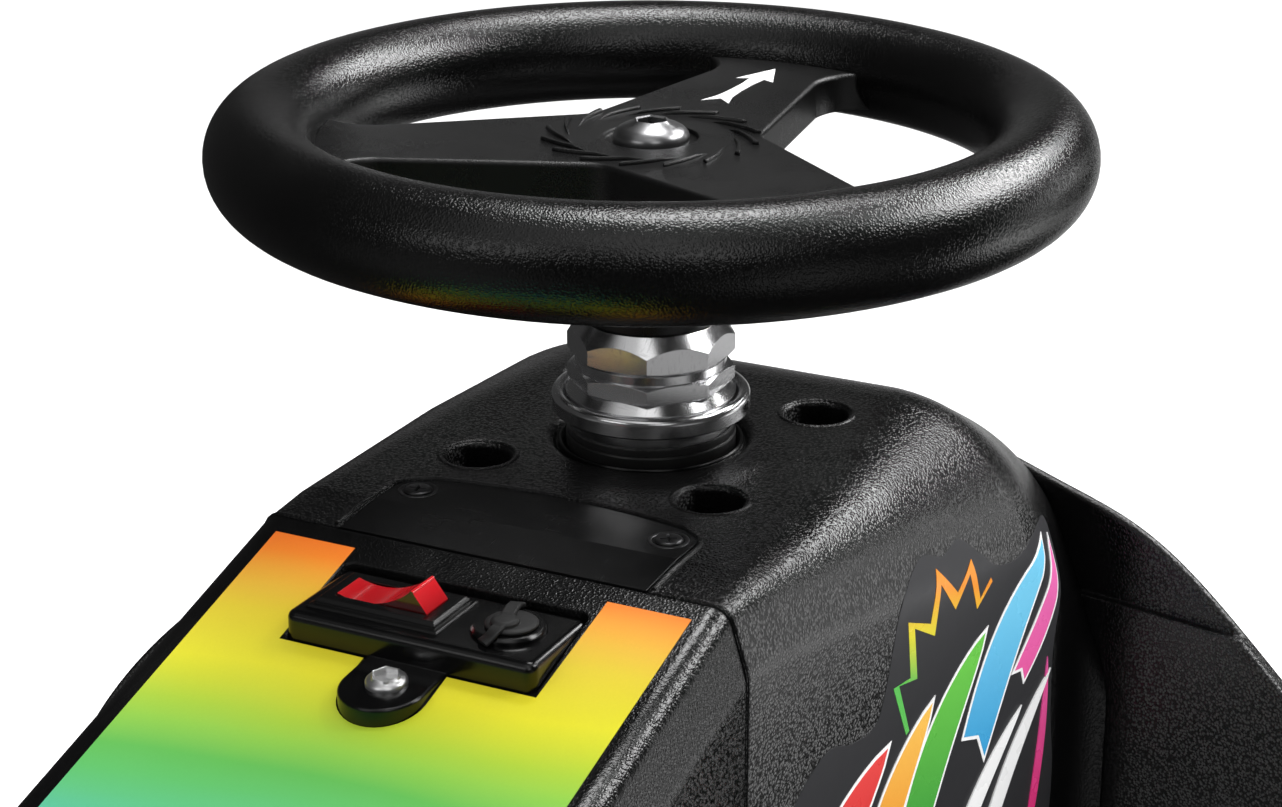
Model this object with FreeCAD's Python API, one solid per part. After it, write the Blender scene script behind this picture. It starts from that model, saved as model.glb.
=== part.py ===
"""Front end of a drift kart: steering wheel, headset, moulded cowl and swivelling drive wheel.

Frame: +X forward, +Y left, +Z up, in millimetres. The origin is on the steering axis, on the
underside of the mount flange, where this front end bolts onto the kart's frame.
"""
import FreeCAD
import Part
import math
import os

V = FreeCAD.Vector
X, Y, Z = V(1, 0, 0), V(0, 1, 0), V(0, 0, 1)
ORIGIN = V(0, 0, 0)

# ---------------------------------------------------------------- levels on the steering axis
COWL_TOP = 126.0          # flat top of the cowl above the mount plane
COWL_FOOT = -39.0         # lower edge of the tower's side walls
CROWN_TOP = -46.0         # top face of the fork crown
RIM_Z = COWL_TOP + 70.16  # centre plane of the steering wheel's grip

# ---------------------------------------------------------------- cowl moulding
WALL = 3.0                # wall of every moulded shell
SEAM_X = -77.0            # where the tower ends and the rear hood starts
SEAM_GAP = 0.6
TOWER_SEAM_HALF = 60.2    # half width of the tower at the seam
TOWER_FRONT_HALF = 84.0   # half width of the tower where it meets the shield
TOP_EDGE_X = 47.0         # where the flat top starts to roll over into the nose
NOSE_R = 36.0             # radius of that roll
NOSE_ANGLE = 26.0         # slope of the nose under it, in degrees
FRONT_ROLL = 12.0         # radius on which the nose turns down behind the shield's rim
FRONT_ROLL_X = 87.0
TOP_ROLL_X = -62.0        # the flat top starts to roll off here, towards the seam
TOP_ROLL = 1.2
MID_X = 0.0               # the shoulders are sized at the seam, here, at the top edge and in front
FRONT_X = 92.0
SHOULDERS = (5.0, 23.0, 41.0, 44.0)      # shoulder radii at those four stations
SHOULDER_IN = (8.2, 24.6, 40.2, 53.0)    # from the side wall in to the edge of the flat top
DRAFTS = (17.0, 16.5, 16.5, 22.0)        # lean of the wall under the shoulders, in degrees
BENDS = (9.0, 22.0, 30.0, 50.0)          # radius between the leaning wall and the upright one
SHIELD_X = 99.0           # front face of the shield on the centre line
SHIELD_PLAN_R = 500.0     # the shield is bowed in plan to this radius
# height of the shield's rim: each pair is a distance from the middle and a level from the cowl's top
SHIELD_RIM = [(0, -22.3), (26, -23.2), (50, -27.4), (70, -33.2), (92.5, -40.2), (124, -61.5),
              (160, -91.5), (192, -121.5), (212, -152.0), (222, -190.0)]
SHIELD_FOOT = -174.0
SHIELD_CORNER = 30.0
SHIELD_EDGE = 1.2         # rounding of the rim
SHIELD_LEDGE_Z = COWL_TOP - 61.0
SHIELD_LEDGE = 2.5        # the shield is thicker below its ledge
FLARE_R = 14.0            # the side walls sweep out into the shield on this radius
FLARE_END_X = 88.5        # where that sweep would lie flat along the shield
BULGE_R = 125.0           # wheel bulge in the lower half of the shield
BULGE_FULL = -62.0
BULGE_NECK_R = 80.0       # it would narrow to this radius at BULGE_NECK_Z
BULGE_NECK_Z = 26.0
BULGE_BACK_X = 60.0

# ---------------------------------------------------------------- openings in the flat top
STEERER_R, STEERER_BORE = 14.3, 11.7
HEAD_TUBE_BORE = STEERER_R + 2.7
HEAD_TUBE_R = HEAD_TUBE_BORE + 2.5
COLUMN_HOLE_R = HEAD_TUBE_R + 0.4
COLLAR_IN_R = COLUMN_HOLE_R + 0.8         # raised collar round the column hole
COLLAR_R = COLLAR_IN_R + 1.0
COLLAR_DROP = 0.9
DISH_FOOT_R = COLLAR_R + 0.5
DISH_R = DISH_FOOT_R + 3.0                # the top rolls down to the collar's foot from here
DISH_DEPTH = 2.1
WELL_PITCH = 59.0
WELL_BORE = 15.0
WELL_MOUTH = 1.05         # rounding of the mouth
WELL_DEPTH = 17.0
WELL_WALL = 2.5
WELL_FLOOR = 3.0
WELL_SCREW = 6.6
COVER_HALF = 37.0         # access cover behind the column
COVER_FRONT_X = -44.3
COVER_ARCH = 4.7          # its front edge is bowed by this much
COVER_REAR_X = -76.7
COVER_THICK = 1.5
COVER_CORNER = 6.0
COVER_GAP = 0.5
COVER_LEDGE_X, COVER_LEDGE_Y = 8.0, 11.0   # width of the ledge that the cover rests on
COVER_LEDGE_DEPTH = 6.0

# ---------------------------------------------------------------- rear hood
HOOD_ANGLE = 16.4         # degrees down towards the rider
HOOD_STRAIGHT = 95.0      # straight run of the slope, measured along X
HOOD_END_R = 50.0
HOOD_FOOT = 6.0

# ---------------------------------------------------------------- switch box on the hood
BOX_LOW_X, BOX_HIGH_X = -111.3, -86.6
BOX_HALF = 29.3
BOX_TOP = COWL_TOP - 5.2
BOX_ROUND = 1.8
BOX_CORNER = 2.4
BOX_WALL = 2.0
BOX_DEPTH = 14.0          # the box reaches this far below the low edge of its opening
BOX_GAP = 0.3
HOOK_HALF, HOOK_REACH, HOOK_THICK = 20.0, 4.0, 2.0
TAB_HALF = 9.4
TAB_X = -120.0            # centre of the tab's round end
TAB_ROOT_RISE = 0.3       # the tab's face starts this far above the hood at the box
TAB_ANGLE = 5.0           # and slopes down by this many degrees, so that it stands clear at its end
TAB_ROUND = 0.6
SCREW_X = -119.0
BEZEL_X, BEZEL_Y = -98.9, 10.5
BEZEL_LONG, BEZEL_WIDE, BEZEL_STEP = 31.2, 17.4, 0.7
BEZEL_INSET = 1.3         # the raised frame stands back this far from the edge of its base
BEZEL_HIGH = 2.0
ROCKER_LONG, ROCKER_WIDE = 21.4, 8.6
ROCKER_RISE = 6.4
ROCKER_GAP = 0.3
ROCKER_DEPTH = 3.0
PORT_X, PORT_Y, PORT_R, PORT_HIGH = -98.3, -16.6, 7.9, 1.4
PORT_BARREL_R, PORT_BARREL = 5.5, 11.0
CAP_R, CAP_HIGH = 5.7, 1.6
CAP_PAD_R, CAP_PAD_HIGH = 3.0, 0.8
CAP_STRAP_HALF, CAP_STRAP = 1.7, 1.2

# ---------------------------------------------------------------- head tube and headset
HEAD_TUBE_TOP = COWL_TOP + 3.4
HEAD_TUBE_FOOT = -22.0
PLATE_HALF, PLATE_THICK = 42.0, 4.0
PLATE_TOP = COWL_TOP - WELL_DEPTH - WELL_FLOOR
FLANGE_HALF, FLANGE_THICK, FLANGE_CORNER = 48.0, 6.0, 12.0
FLANGE_PITCH, FLANGE_HOLE = 72.0, 8.5
GUSSET_HIGH, GUSSET_THICK, GUSSET_OUT = 26.0, 4.0, 41.0
CUP_R = HEAD_TUBE_R + 3.66
CUP_RIM_Z = COWL_TOP + 11.9
CUP_BAND_Z = COWL_TOP + 7.2      # under side of the cup's wide band
CUP_ROUND = 1.5
NUT_FLATS = 2 * (STEERER_R + 3.7)
NUT_LEVELS = (14.1, 18.1, 21.0, 25.0)    # adjusting nut, washer, lock nut, and the foot of its cone
WASHER_R = STEERER_R + 3.3
NUT_SIDES = 8
NUT_TURN = 23.5           # degrees from +X to the first corner
RUN_GAP = 0.3             # between the turning headset pieces and the fixed ones
CUP_HIGH, CUP_HOLLOW = 13.0, 3.0   # lower cup, and the depth of its cone-shaped hollow

# ---------------------------------------------------------------- steering wheel
RIM_R, GRIP_R = 87.67, 12.33
ARM_THICK = 9.0
ARM_TOP = COWL_TOP + 71.7
ARM_ROOT_HALF, ARM_WAIST_HALF, ARM_END_HALF = 21.4, 14.1, 22.5
ARM_WAIST_AT = 61.0
ARM_FILLET = 8.0
ARM_EDGE = 1.0            # rounding along the top edges of the arms
BOSS_R = STEERER_R + 1.7
BOSS_TOP_R = BOSS_R + 2.5
BOSS_FOOT = COWL_TOP + 29.3
HUB_RECESS_R, HUB_RECESS = 10.75, 1.0
HUB_BOLT_R, HUB_BOLT_HEAD_R = 5.0, 8.75
HUB_BOLT_HEAD = 5.0
HUB_BOLT_LONG = 34.0
HUB_BOLT_HEX = 6.0

# ---------------------------------------------------------------- fork and drive wheel
CROWN_HALF_X, CROWN_HALF_Y, CROWN_THICK = 22.0, 46.0, 10.0
LEG_INSIDE, LEG_THICK = 36.0, 6.0
LEG_TOP_HALF, LEG_END_R = 20.0, 18.0
TYRE_R, TYRE_WIDTH, TYRE_BORE = 100.0, 50.0, 67.0
TYRE_CLEAR = 18.0         # from the tyre up to the fork crown
AXLE_Z = CROWN_TOP - CROWN_THICK - TYRE_CLEAR - TYRE_R     # axle of the drive wheel
HUB_FLANGE_R, HUB_HALF = 72.0, 21.0
HUB_COVER_R, HUB_COVER_OUT = 62.0, 30.0
AXLE_R, AXLE_HALF = 6.0, 56.0
AXLE_COLLAR_R = 9.0
AXLE_RUN = 0.05           # radial clearance of the hub on its axle
AXLE_NUT_FLATS, AXLE_NUT_THICK = 18.0, 9.0


# ================================================================ shape helpers
def face_of(edges):
    """Planar face bounded by edges given in order."""
    return Part.Face(Part.Wire(edges))


def polygon(points):
    """Closed wire through points."""
    return Part.makePolygon(points + points[:1])


def turned(profile, axis=Z, centre=ORIGIN):
    """Solid of revolution of a closed profile of (radius, height) pairs about a vertical axis."""
    face = Part.Face(polygon([V(r, 0, h) for r, h in profile]))
    solid = face.revolve(ORIGIN, Z, 360)
    if axis == Y:
        solid.rotate(ORIGIN, X, -90)
    solid.translate(centre)
    return solid


def cylinder(radius, low, high, x=0.0, y=0.0):
    """Upright cylinder between two heights."""
    return Part.makeCylinder(radius, high - low, V(x, y, low), Z)


def block(x0, x1, y0, y1, z0, z1):
    """Box between two corners."""
    return Part.makeBox(x1 - x0, y1 - y0, z1 - z0, V(x0, y0, z0))


def rounded_plate(half_x, half_y, corner, low, high):
    """Upright rounded rectangle centred on the steering axis."""
    plate = block(-half_x, half_x, -half_y, half_y, low, high)
    uprights = [e for e in plate.Edges if abs(e.tangentAt(e.FirstParameter).z) > 0.9]
    return plate.makeFillet(corner, uprights)


def four_corners(pitch):
    """Centres of a square hole pattern."""
    half = pitch / 2
    return [(sx * half, sy * half) for sx in (-1, 1) for sy in (-1, 1)]


def prism(sides, flats, low, high, turn):
    """Upright regular prism measured across its flats."""
    radius = flats / 2 / math.cos(math.pi / sides)
    angles = [math.radians(turn + 360 * k / sides) for k in range(sides)]
    wire = polygon([V(radius * math.cos(a), radius * math.sin(a), low) for a in angles])
    return Part.Face(wire).extrude(V(0, 0, high - low))


# ================================================================ cowl tower and shield
def shell_section(x, top, flat, radius, draft, bend, side, foot, inset=0.0):
    """Closed outline across the cowl at x: flat top, round shoulders, leaning then upright walls."""
    lean = math.radians(draft)
    shoulder_z = top - radius
    r = radius - inset
    wall = side - inset
    leaning = (side - flat - radius * math.cos(lean)) / math.sin(lean)
    along = min(bend * math.tan(lean / 2), 0.9 * leaning)
    bend_r = along / math.tan(lean / 2)
    bend_z = shoulder_z + radius * math.sin(lean) - leaning * math.cos(lean) - along
    round_r = bend_r - inset

    def on_shoulder(angle):
        return flat + r * math.sin(angle), shoulder_z + r * math.cos(angle)

    def on_bend(angle):
        return side - bend_r + round_r * math.cos(angle), bend_z + round_r * math.sin(angle)

    half = [on_shoulder(0), on_shoulder((math.pi / 2 - lean) / 2), on_shoulder(math.pi / 2 - lean),
            on_bend(lean), on_bend(lean / 2), on_bend(0), (wall, foot)]
    left = [V(x, y, z) for y, z in half]
    right = [V(x, -y, z) for y, z in half]
    edges = [Part.makeLine(right[0], left[0]),
             Part.Arc(left[0], left[1], left[2]).toShape(),
             Part.makeLine(left[2], left[3]),
             Part.Arc(left[3], left[4], left[5]).toShape(),
             Part.makeLine(left[5], left[6]),
             Part.makeLine(left[6], right[6]),
             Part.makeLine(right[6], right[5]),
             Part.Arc(right[5], right[4], right[3]).toShape(),
             Part.makeLine(right[3], right[2]),
             Part.Arc(right[2], right[1], right[0]).toShape()]
    return Part.Wire(edges)


def between(low, high, share):
    """Value a share of the way from low to high."""
    return low + share * (high - low)


def tower_half_width(x):
    """The side walls spread evenly from the seam to the shield."""
    return between(TOWER_SEAM_HALF, TOWER_FRONT_HALF, (x - SEAM_X) / (FRONT_X - SEAM_X))


def along_tower(values, x):
    """Value at x of a size that is given at the seam, the middle, the top edge and the front."""
    stations = [SEAM_X, MID_X, TOP_EDGE_X, FRONT_X]
    leg = max(k for k in range(3) if x >= stations[k] or k == 0)
    share = (x - stations[leg]) / (stations[leg + 1] - stations[leg])
    return between(values[leg], values[leg + 1], share)


def nose_drop(x):
    """How far the top has fallen at x: level, round the top edge, down a slope, round the front."""
    lean = math.radians(NOSE_ANGLE)
    ahead = x - TOP_EDGE_X
    if ahead <= 0:
        return 0.0
    if ahead < NOSE_R * math.sin(lean):
        return NOSE_R - math.sqrt(NOSE_R ** 2 - ahead ** 2)
    drop = NOSE_R * (1 - math.cos(lean)) + (ahead - NOSE_R * math.sin(lean)) * math.tan(lean)
    if x > FRONT_ROLL_X:
        drop += FRONT_ROLL - math.sqrt(FRONT_ROLL ** 2 - (x - FRONT_ROLL_X) ** 2)
    return drop


def tower_section(x, inset, foot, flare=0.0):
    """Section of the tower at x, with the foot of its walls swept outwards by flare."""
    top = COWL_TOP - nose_drop(x)
    if x < TOP_ROLL_X:
        top -= TOP_ROLL * (TOP_ROLL_X - x) / (TOP_ROLL_X - SEAM_X)
    side = tower_half_width(x)
    return shell_section(x, top, side - along_tower(SHOULDER_IN, x), along_tower(SHOULDERS, x),
                         along_tower(DRAFTS, x), along_tower(BENDS, x), side + flare, foot, inset)


def flare_stations(inset):
    """Pairs of x and outward sweep along the quarter round between the walls and the shield."""
    radius = FLARE_R + inset
    start = FLARE_END_X - FLARE_R
    steps = [radius * math.sin(math.radians(a)) for a in (0, 20, 40, 57, 72)]
    return [(start + dx, radius - math.sqrt(radius ** 2 - dx ** 2)) for dx in steps]


def tower_block(inset, foot):
    """The tower as a full body, or its hollow when inset by the wall; it ends at the shield's back."""
    rear = SEAM_X - (1.0 if inset else 0.0)
    lean = math.radians(NOSE_ANGLE)
    roll = [TOP_EDGE_X + NOSE_R * math.sin(lean * share) for share in (0.0, 0.33, 0.67, 1.0)]
    sweep = flare_stations(inset)
    back_x = SHIELD_X - WALL
    level = [tower_section(x, inset, foot) for x in (rear, TOP_ROLL_X, MID_X, TOP_EDGE_X)]
    nose = [tower_section(x, inset, foot) for x in roll]
    nose += [tower_section(x, inset, foot, flare) for x, flare in sweep]
    tip_x, tip_flare = sweep[-1]
    tip = [tower_section(between(tip_x, back_x, share), inset, foot, tip_flare)
           for share in (0.0, 0.25, 0.5, 0.75, 1.0)]
    body = Part.makeLoft(level, True, True).fuse([Part.makeLoft(nose, True, False),
                                                  Part.makeLoft(tip, True, True)])
    return body.common(behind_shield(foot - 1, COWL_TOP + 1))


def behind_shield(low, high, depth=0.0):
    """Everything behind the bowed back of the shield, or behind a face depth in front of it."""
    return cylinder(SHIELD_PLAN_R - WALL + depth, low, high, SHIELD_X - SHIELD_PLAN_R)


def shield_outline():
    """Front outline of the shield: a smooth rim on short upright sides, with rounded feet."""
    half = SHIELD_RIM[-1][0]
    foot, corner = SHIELD_FOOT, SHIELD_CORNER
    right = [V(0, -y, COWL_TOP + z) for y, z in reversed(SHIELD_RIM)]
    left = [V(0, y, COWL_TOP + z) for y, z in SHIELD_RIM[1:]]
    rim = Part.BSplineCurve()
    rim.interpolate(right + left)
    low = right[0].z
    diag = corner * (1 - math.sqrt(0.5))

    def foot_corner(sign):
        return Part.Arc(V(0, sign * half, foot + corner),
                        V(0, sign * (half - diag), foot + diag),
                        V(0, sign * (half - corner), foot)).toShape()

    edges = [rim.toShape(),
             Part.makeLine(V(0, half, low), V(0, half, foot + corner)),
             foot_corner(1),
             Part.makeLine(V(0, half - corner, foot), V(0, corner - half, foot)),
             foot_corner(-1),
             Part.makeLine(V(0, -half, foot + corner), V(0, -half, low))]
    return face_of(Part.sortEdges(edges)[0])


def shield_plate(inner, low, high):
    """Bowed plate from the shield's front face back to a radius, cut to the shield's outline."""
    axis_x = SHIELD_X - SHIELD_PLAN_R
    band = cylinder(SHIELD_PLAN_R, low, high, axis_x).cut(cylinder(inner, low, high, axis_x))
    return band.common(shield_outline().extrude(V(SHIELD_X + 10, 0, 0)))


def front_shield():
    """Bowed front shield, thicker below its ledge, with the bulge that clears the drive wheel."""
    back = SHIELD_PLAN_R - WALL
    plate = shield_plate(back, SHIELD_FOOT - 1, COWL_TOP)
    plate = plate.fuse(shield_plate(back - SHIELD_LEDGE, SHIELD_FOOT - 1, SHIELD_LEDGE_Z)).removeSplitter()
    rim = [e for e in plate.Edges if isinstance(e.Curve, Part.BSplineCurve)
           and e.BoundBox.ZLength > 20 and e.BoundBox.YLength > 3]
    plate = plate.makeFillet(SHIELD_EDGE, rim).cut(tower_block(0.0, COWL_FOOT))
    reach = block(BULGE_BACK_X, BULGE_R + 5, -BULGE_R, BULGE_R, SHIELD_FOOT, COWL_TOP)
    bulge = bulge_body(0.0).common(reach).cut(behind_shield(SHIELD_FOOT - 1, COWL_TOP, WALL / 2))
    room = block(BULGE_BACK_X, BULGE_R, -BULGE_R, BULGE_R, SHIELD_FOOT - 1, COWL_TOP)
    hollow = bulge_body(WALL).common(room)
    return plate.fuse(bulge).cut(hollow).removeSplitter()


def bulge_body(inset):
    """Body turned about the steering axis that gives the drive wheel room to swivel."""
    wide, neck = BULGE_R - inset, BULGE_NECK_R - inset
    foot = SHIELD_FOOT - (1 if inset else 0)
    top = BULGE_NECK_Z - inset
    return turned([(0, foot), (wide, foot), (wide, BULGE_FULL), (neck, top), (0, top)])


def wells():
    """Four screw wells that stand on the cowl plate."""
    outside = [cylinder(WELL_BORE / 2 + WELL_WALL, PLATE_TOP, COWL_TOP - 1, x, y)
               for x, y in four_corners(WELL_PITCH)]
    mouth_r = WELL_BORE / 2
    ease = 0.3 * WELL_MOUTH
    bore = turned([(0, PLATE_TOP + WELL_FLOOR), (mouth_r, PLATE_TOP + WELL_FLOOR),
                   (mouth_r, COWL_TOP - WELL_MOUTH), (mouth_r + ease, COWL_TOP - ease),
                   (mouth_r + WELL_MOUTH, COWL_TOP), (mouth_r + WELL_MOUTH, COWL_TOP + 1),
                   (0, COWL_TOP + 1)])
    bores = []
    for x, y in four_corners(WELL_PITCH):
        one = bore.copy()
        one.translate(V(x, y, 0))
        bores += [one, cylinder(WELL_SCREW / 2, PLATE_TOP - 1, COWL_TOP, x, y)]
    return outside, bores


def column_dish():
    """Shallow dish with a raised collar round the column hole."""
    low = COWL_TOP - DISH_DEPTH
    collar = COWL_TOP - COLLAR_DROP
    deep, high = COWL_TOP - 20, COWL_TOP + 1
    reach, drop = DISH_R - DISH_FOOT_R, DISH_DEPTH
    roll_r = (reach ** 2 + drop ** 2) / (2 * drop)
    half = math.asin(reach / roll_r) / 2
    roll = Part.Arc(V(DISH_FOOT_R, 0, low),
                    V(DISH_R - roll_r * math.sin(half), 0, COWL_TOP - roll_r * (1 - math.cos(half))),
                    V(DISH_R, 0, COWL_TOP)).toShape()
    inside = [V(DISH_R, 0, COWL_TOP), V(DISH_R, 0, high), V(0, 0, high), V(0, 0, deep),
              V(COLUMN_HOLE_R, 0, deep), V(COLUMN_HOLE_R, 0, low), V(COLLAR_IN_R, 0, collar - 0.3),
              V(COLLAR_IN_R + 0.3, 0, collar), V(COLLAR_R - 0.3, 0, collar), V(COLLAR_R, 0, collar - 0.3),
              V(COLLAR_R, 0, low), V(DISH_FOOT_R, 0, low)]
    sides = [Part.makeLine(a, b) for a, b in zip(inside, inside[1:])]
    return Part.Face(Part.Wire([roll] + sides)).revolve(ORIGIN, Z, 360)


def cover_outline(gap):
    """Outline of the access cover at height zero, grown by gap."""
    half = COVER_HALF + gap
    front, rear = COVER_FRONT_X + gap, COVER_REAR_X - gap
    shoulder = front - COVER_ARCH
    arch = Part.Arc(V(shoulder, half, 0), V(front, 0, 0), V(shoulder, -half, 0)).toShape()
    outline = [arch,
               Part.makeLine(V(shoulder, -half, 0), V(rear, -half, 0)),
               Part.makeLine(V(rear, -half, 0), V(rear, half, 0)),
               Part.makeLine(V(rear, half, 0), V(shoulder, half, 0))]
    return face_of(outline)


def cover_block(gap, low, high):
    """The cover's outline as an upright block with its front corners rounded."""
    face = cover_outline(gap)
    face.translate(V(0, 0, low))
    solid = face.extrude(V(0, 0, high - low))
    middle = (COVER_FRONT_X + COVER_REAR_X) / 2
    uprights = [e for e in solid.Edges if abs(e.tangentAt(e.FirstParameter).z) > 0.9
                and e.CenterOfMass.x > middle]
    return solid.makeFillet(COVER_CORNER + gap, uprights)


def cowl():
    """Hollow tower with its nose, the four wells, the column hole and the rebate for the cover."""
    outer = tower_block(0.0, COWL_FOOT)
    body = outer.cut(tower_block(WALL, COWL_FOOT - 1))
    ledge_low = COWL_TOP - COVER_LEDGE_DEPTH
    seat = COWL_TOP - TOP_ROLL - COVER_THICK
    ledge = cover_block(WALL, ledge_low, COWL_TOP).common(outer)
    way_in = block(COVER_REAR_X + COVER_LEDGE_X, COVER_FRONT_X - COVER_ARCH - COVER_LEDGE_X,
                   COVER_LEDGE_Y - COVER_HALF, COVER_HALF - COVER_LEDGE_Y, ledge_low - 1, COWL_TOP)
    outside, bores = wells()
    body = body.fuse([ledge] + outside)
    rebate = cover_block(COVER_GAP, seat, COWL_TOP + 5)
    return body.cut(bores + [column_dish(), way_in, rebate]).removeSplitter()


def cover_plate():
    """Access cover let into the top behind the column."""
    slab = cover_block(0.0, COWL_TOP - TOP_ROLL - COVER_THICK, COWL_TOP + 5)
    return slab.common(tower_block(0.0, COWL_FOOT)).removeSplitter()


# ================================================================ rear hood
def hood_top(x):
    """Height of the straight slope at x."""
    return COWL_TOP - TOP_ROLL + math.tan(math.radians(HOOD_ANGLE)) * (x - SEAM_X)


def hood_block(inset, foot):
    """The hood as a full body, or its hollow when inset by the wall.

    One section, square to the surface, runs down the slope, turns about the end's axis and drops.
    """
    front = SEAM_X - SEAM_GAP + (1.0 if inset else 0.0)
    half = TOWER_SEAM_HALF - inset
    lean = math.radians(HOOD_ANGLE)
    bend = V(SEAM_X - HOOD_STRAIGHT, 0, hood_top(SEAM_X - HOOD_STRAIGHT))
    centre = bend + V(math.sin(lean), 0, -math.cos(lean)) * HOOD_END_R
    section = Part.Face(shell_section(0, 0, TOWER_SEAM_HALF - SHOULDER_IN[0], SHOULDERS[0], DRAFTS[0],
                                      BENDS[0], TOWER_SEAM_HALF, -HOOD_END_R, inset))
    section.rotate(ORIGIN, Y, -HOOD_ANGLE)
    section.translate(bend)
    slope = section.extrude(V(math.cos(lean), 0, math.sin(lean)) * (HOOD_STRAIGHT + 40))
    turn = section.revolve(centre, -Y, 90 - HOOD_ANGLE)
    back = section.copy()
    back.rotate(centre, Y, HOOD_ANGLE - 90)
    back = back.extrude(V(0, 0, foot - centre.z))
    rise = math.tan(lean) * (front - centre.x)
    core = Part.Face(polygon([V(centre.x, -half, foot), V(centre.x, -half, centre.z),
                              V(front, -half, centre.z + rise), V(front, -half, foot)]))
    core = core.extrude(V(0, 2 * half, 0))
    beyond = block(front, front + 60, -100, 100, foot - 1, COWL_TOP + 40)
    return slope.fuse([turn, back, core]).cut(beyond).removeSplitter()


def rear_hood():
    """Hollow hood that slopes down towards the rider, with the opening for the switch box."""
    hood = hood_block(0.0, HOOD_FOOT).cut(hood_block(WALL, HOOD_FOOT - 1))
    opening = box_block(BOX_GAP, HOOD_FOOT + WALL, COWL_TOP + 5)
    return hood.cut(opening).removeSplitter()


# ================================================================ switch box and its parts
def box_block(gap, low, high):
    """Upright block with the switch box's outline, grown by gap."""
    half_x, half_y = (BOX_HIGH_X - BOX_LOW_X) / 2 + gap, BOX_HALF + gap
    outline = rounded_plate(half_x, half_y, BOX_CORNER + gap, low, high)
    outline.translate(V((BOX_LOW_X + BOX_HIGH_X) / 2, 0, 0))
    return outline


def above_slope(depth):
    """Everything above a plane parallel to the hood's slope, depth below its surface."""
    low_x, high_x = SEAM_X - HOOD_STRAIGHT, SEAM_X
    tall = 60.0
    drop = depth / math.cos(math.radians(HOOD_ANGLE))
    low, high = hood_top(low_x) - drop, hood_top(high_x) - drop
    points = [V(low_x, -100, low), V(high_x, -100, high),
              V(high_x, -100, high + tall), V(low_x, -100, low + tall)]
    return Part.Face(polygon(points)).extrude(V(0, 200, 0))


def along_slope(x0, x1, half, low, high):
    """Strip of a layer that lies between two heights above the slope."""
    layer = above_slope(-low).cut(above_slope(-high))
    return layer.common(block(x0, x1, -half, half, 0, 2 * COWL_TOP))


def tab_top(x):
    """Height of the tab's face at x."""
    root = hood_top(BOX_LOW_X) + TAB_ROOT_RISE
    return root + math.tan(math.radians(TAB_ANGLE)) * (x - BOX_LOW_X)


def box_tab():
    """Round-ended tab that stands on the hood beside the box."""
    upright = cylinder(TAB_HALF, 0, COWL_TOP, TAB_X)
    upright = upright.fuse(block(TAB_X, BOX_LOW_X + BOX_WALL, -TAB_HALF, TAB_HALF, 0, COWL_TOP))
    far, near = TAB_X - 2 * TAB_HALF, BOX_LOW_X + BOX_WALL
    under = Part.Face(polygon([V(far, -TAB_HALF - 1, 0), V(near, -TAB_HALF - 1, 0),
                               V(near, -TAB_HALF - 1, tab_top(near)), V(far, -TAB_HALF - 1, tab_top(far))]))
    tab = upright.removeSplitter().common(under.extrude(V(0, 2 * TAB_HALF + 2, 0)))
    rim = [e for e in tab.Edges if abs(e.CenterOfMass.z - tab_top(e.CenterOfMass.x)) < 0.1
           and e.CenterOfMass.x < near - 0.1]
    return tab.makeFillet(TAB_ROUND, rim).common(above_slope(0.0))


def switch_box():
    """Level-topped box through the slope, hooked under its high side and held by its screwed tab."""
    foot = hood_top(BOX_LOW_X) - BOX_DEPTH
    box = box_block(0.0, foot, BOX_TOP)
    box = box.makeFillet(BOX_ROUND, [e for e in box.Edges if e.BoundBox.ZMin > BOX_TOP - 0.1])
    inside = block(BOX_LOW_X + BOX_WALL, BOX_HIGH_X - BOX_WALL, BOX_WALL - BOX_HALF, BOX_HALF - BOX_WALL,
                   foot - 1, BOX_TOP - BOX_WALL)
    hook = along_slope(BOX_HIGH_X - BOX_WALL, BOX_HIGH_X + HOOK_REACH, HOOK_HALF, -WALL - HOOK_THICK, -WALL)
    body = box.fuse([box_tab(), hook]).cut(inside)
    port_hole = cylinder(PORT_BARREL_R, BOX_TOP - BOX_WALL - 1, BOX_TOP + 1, PORT_X, PORT_Y)
    return body.cut([rocker_slot(), port_hole]).removeSplitter()


def rocker_slot():
    """The opening that the rocker stands in, with its gap all round."""
    half_x, half_y = ROCKER_WIDE / 2 + ROCKER_GAP, ROCKER_LONG / 2 + ROCKER_GAP
    return block(BEZEL_X - half_x, BEZEL_X + half_x, BEZEL_Y - half_y, BEZEL_Y + half_y,
                 BOX_TOP - BOX_WALL - 1, COWL_TOP)


def bezel_slab(inset, low, high, chamfer):
    """Slab round the rocker's centre with its top edges chamfered."""
    half_x, half_y = BEZEL_WIDE / 2 - inset, BEZEL_LONG / 2 - inset
    slab = block(BEZEL_X - half_x, BEZEL_X + half_x, BEZEL_Y - half_y, BEZEL_Y + half_y, low, high)
    return slab.makeChamfer(chamfer, [e for e in slab.Edges if e.BoundBox.ZMin > high - 0.1])


def rocker_bezel():
    """Frame round the rocker: a thin base on the box and a raised frame on it."""
    base = bezel_slab(0.0, BOX_TOP, BOX_TOP + BEZEL_STEP, 0.4)
    frame = bezel_slab(BEZEL_INSET, BOX_TOP + BEZEL_STEP - 0.5, BOX_TOP + BEZEL_HIGH, 0.7)
    return base.fuse(frame).cut(rocker_slot()).removeSplitter()


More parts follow.
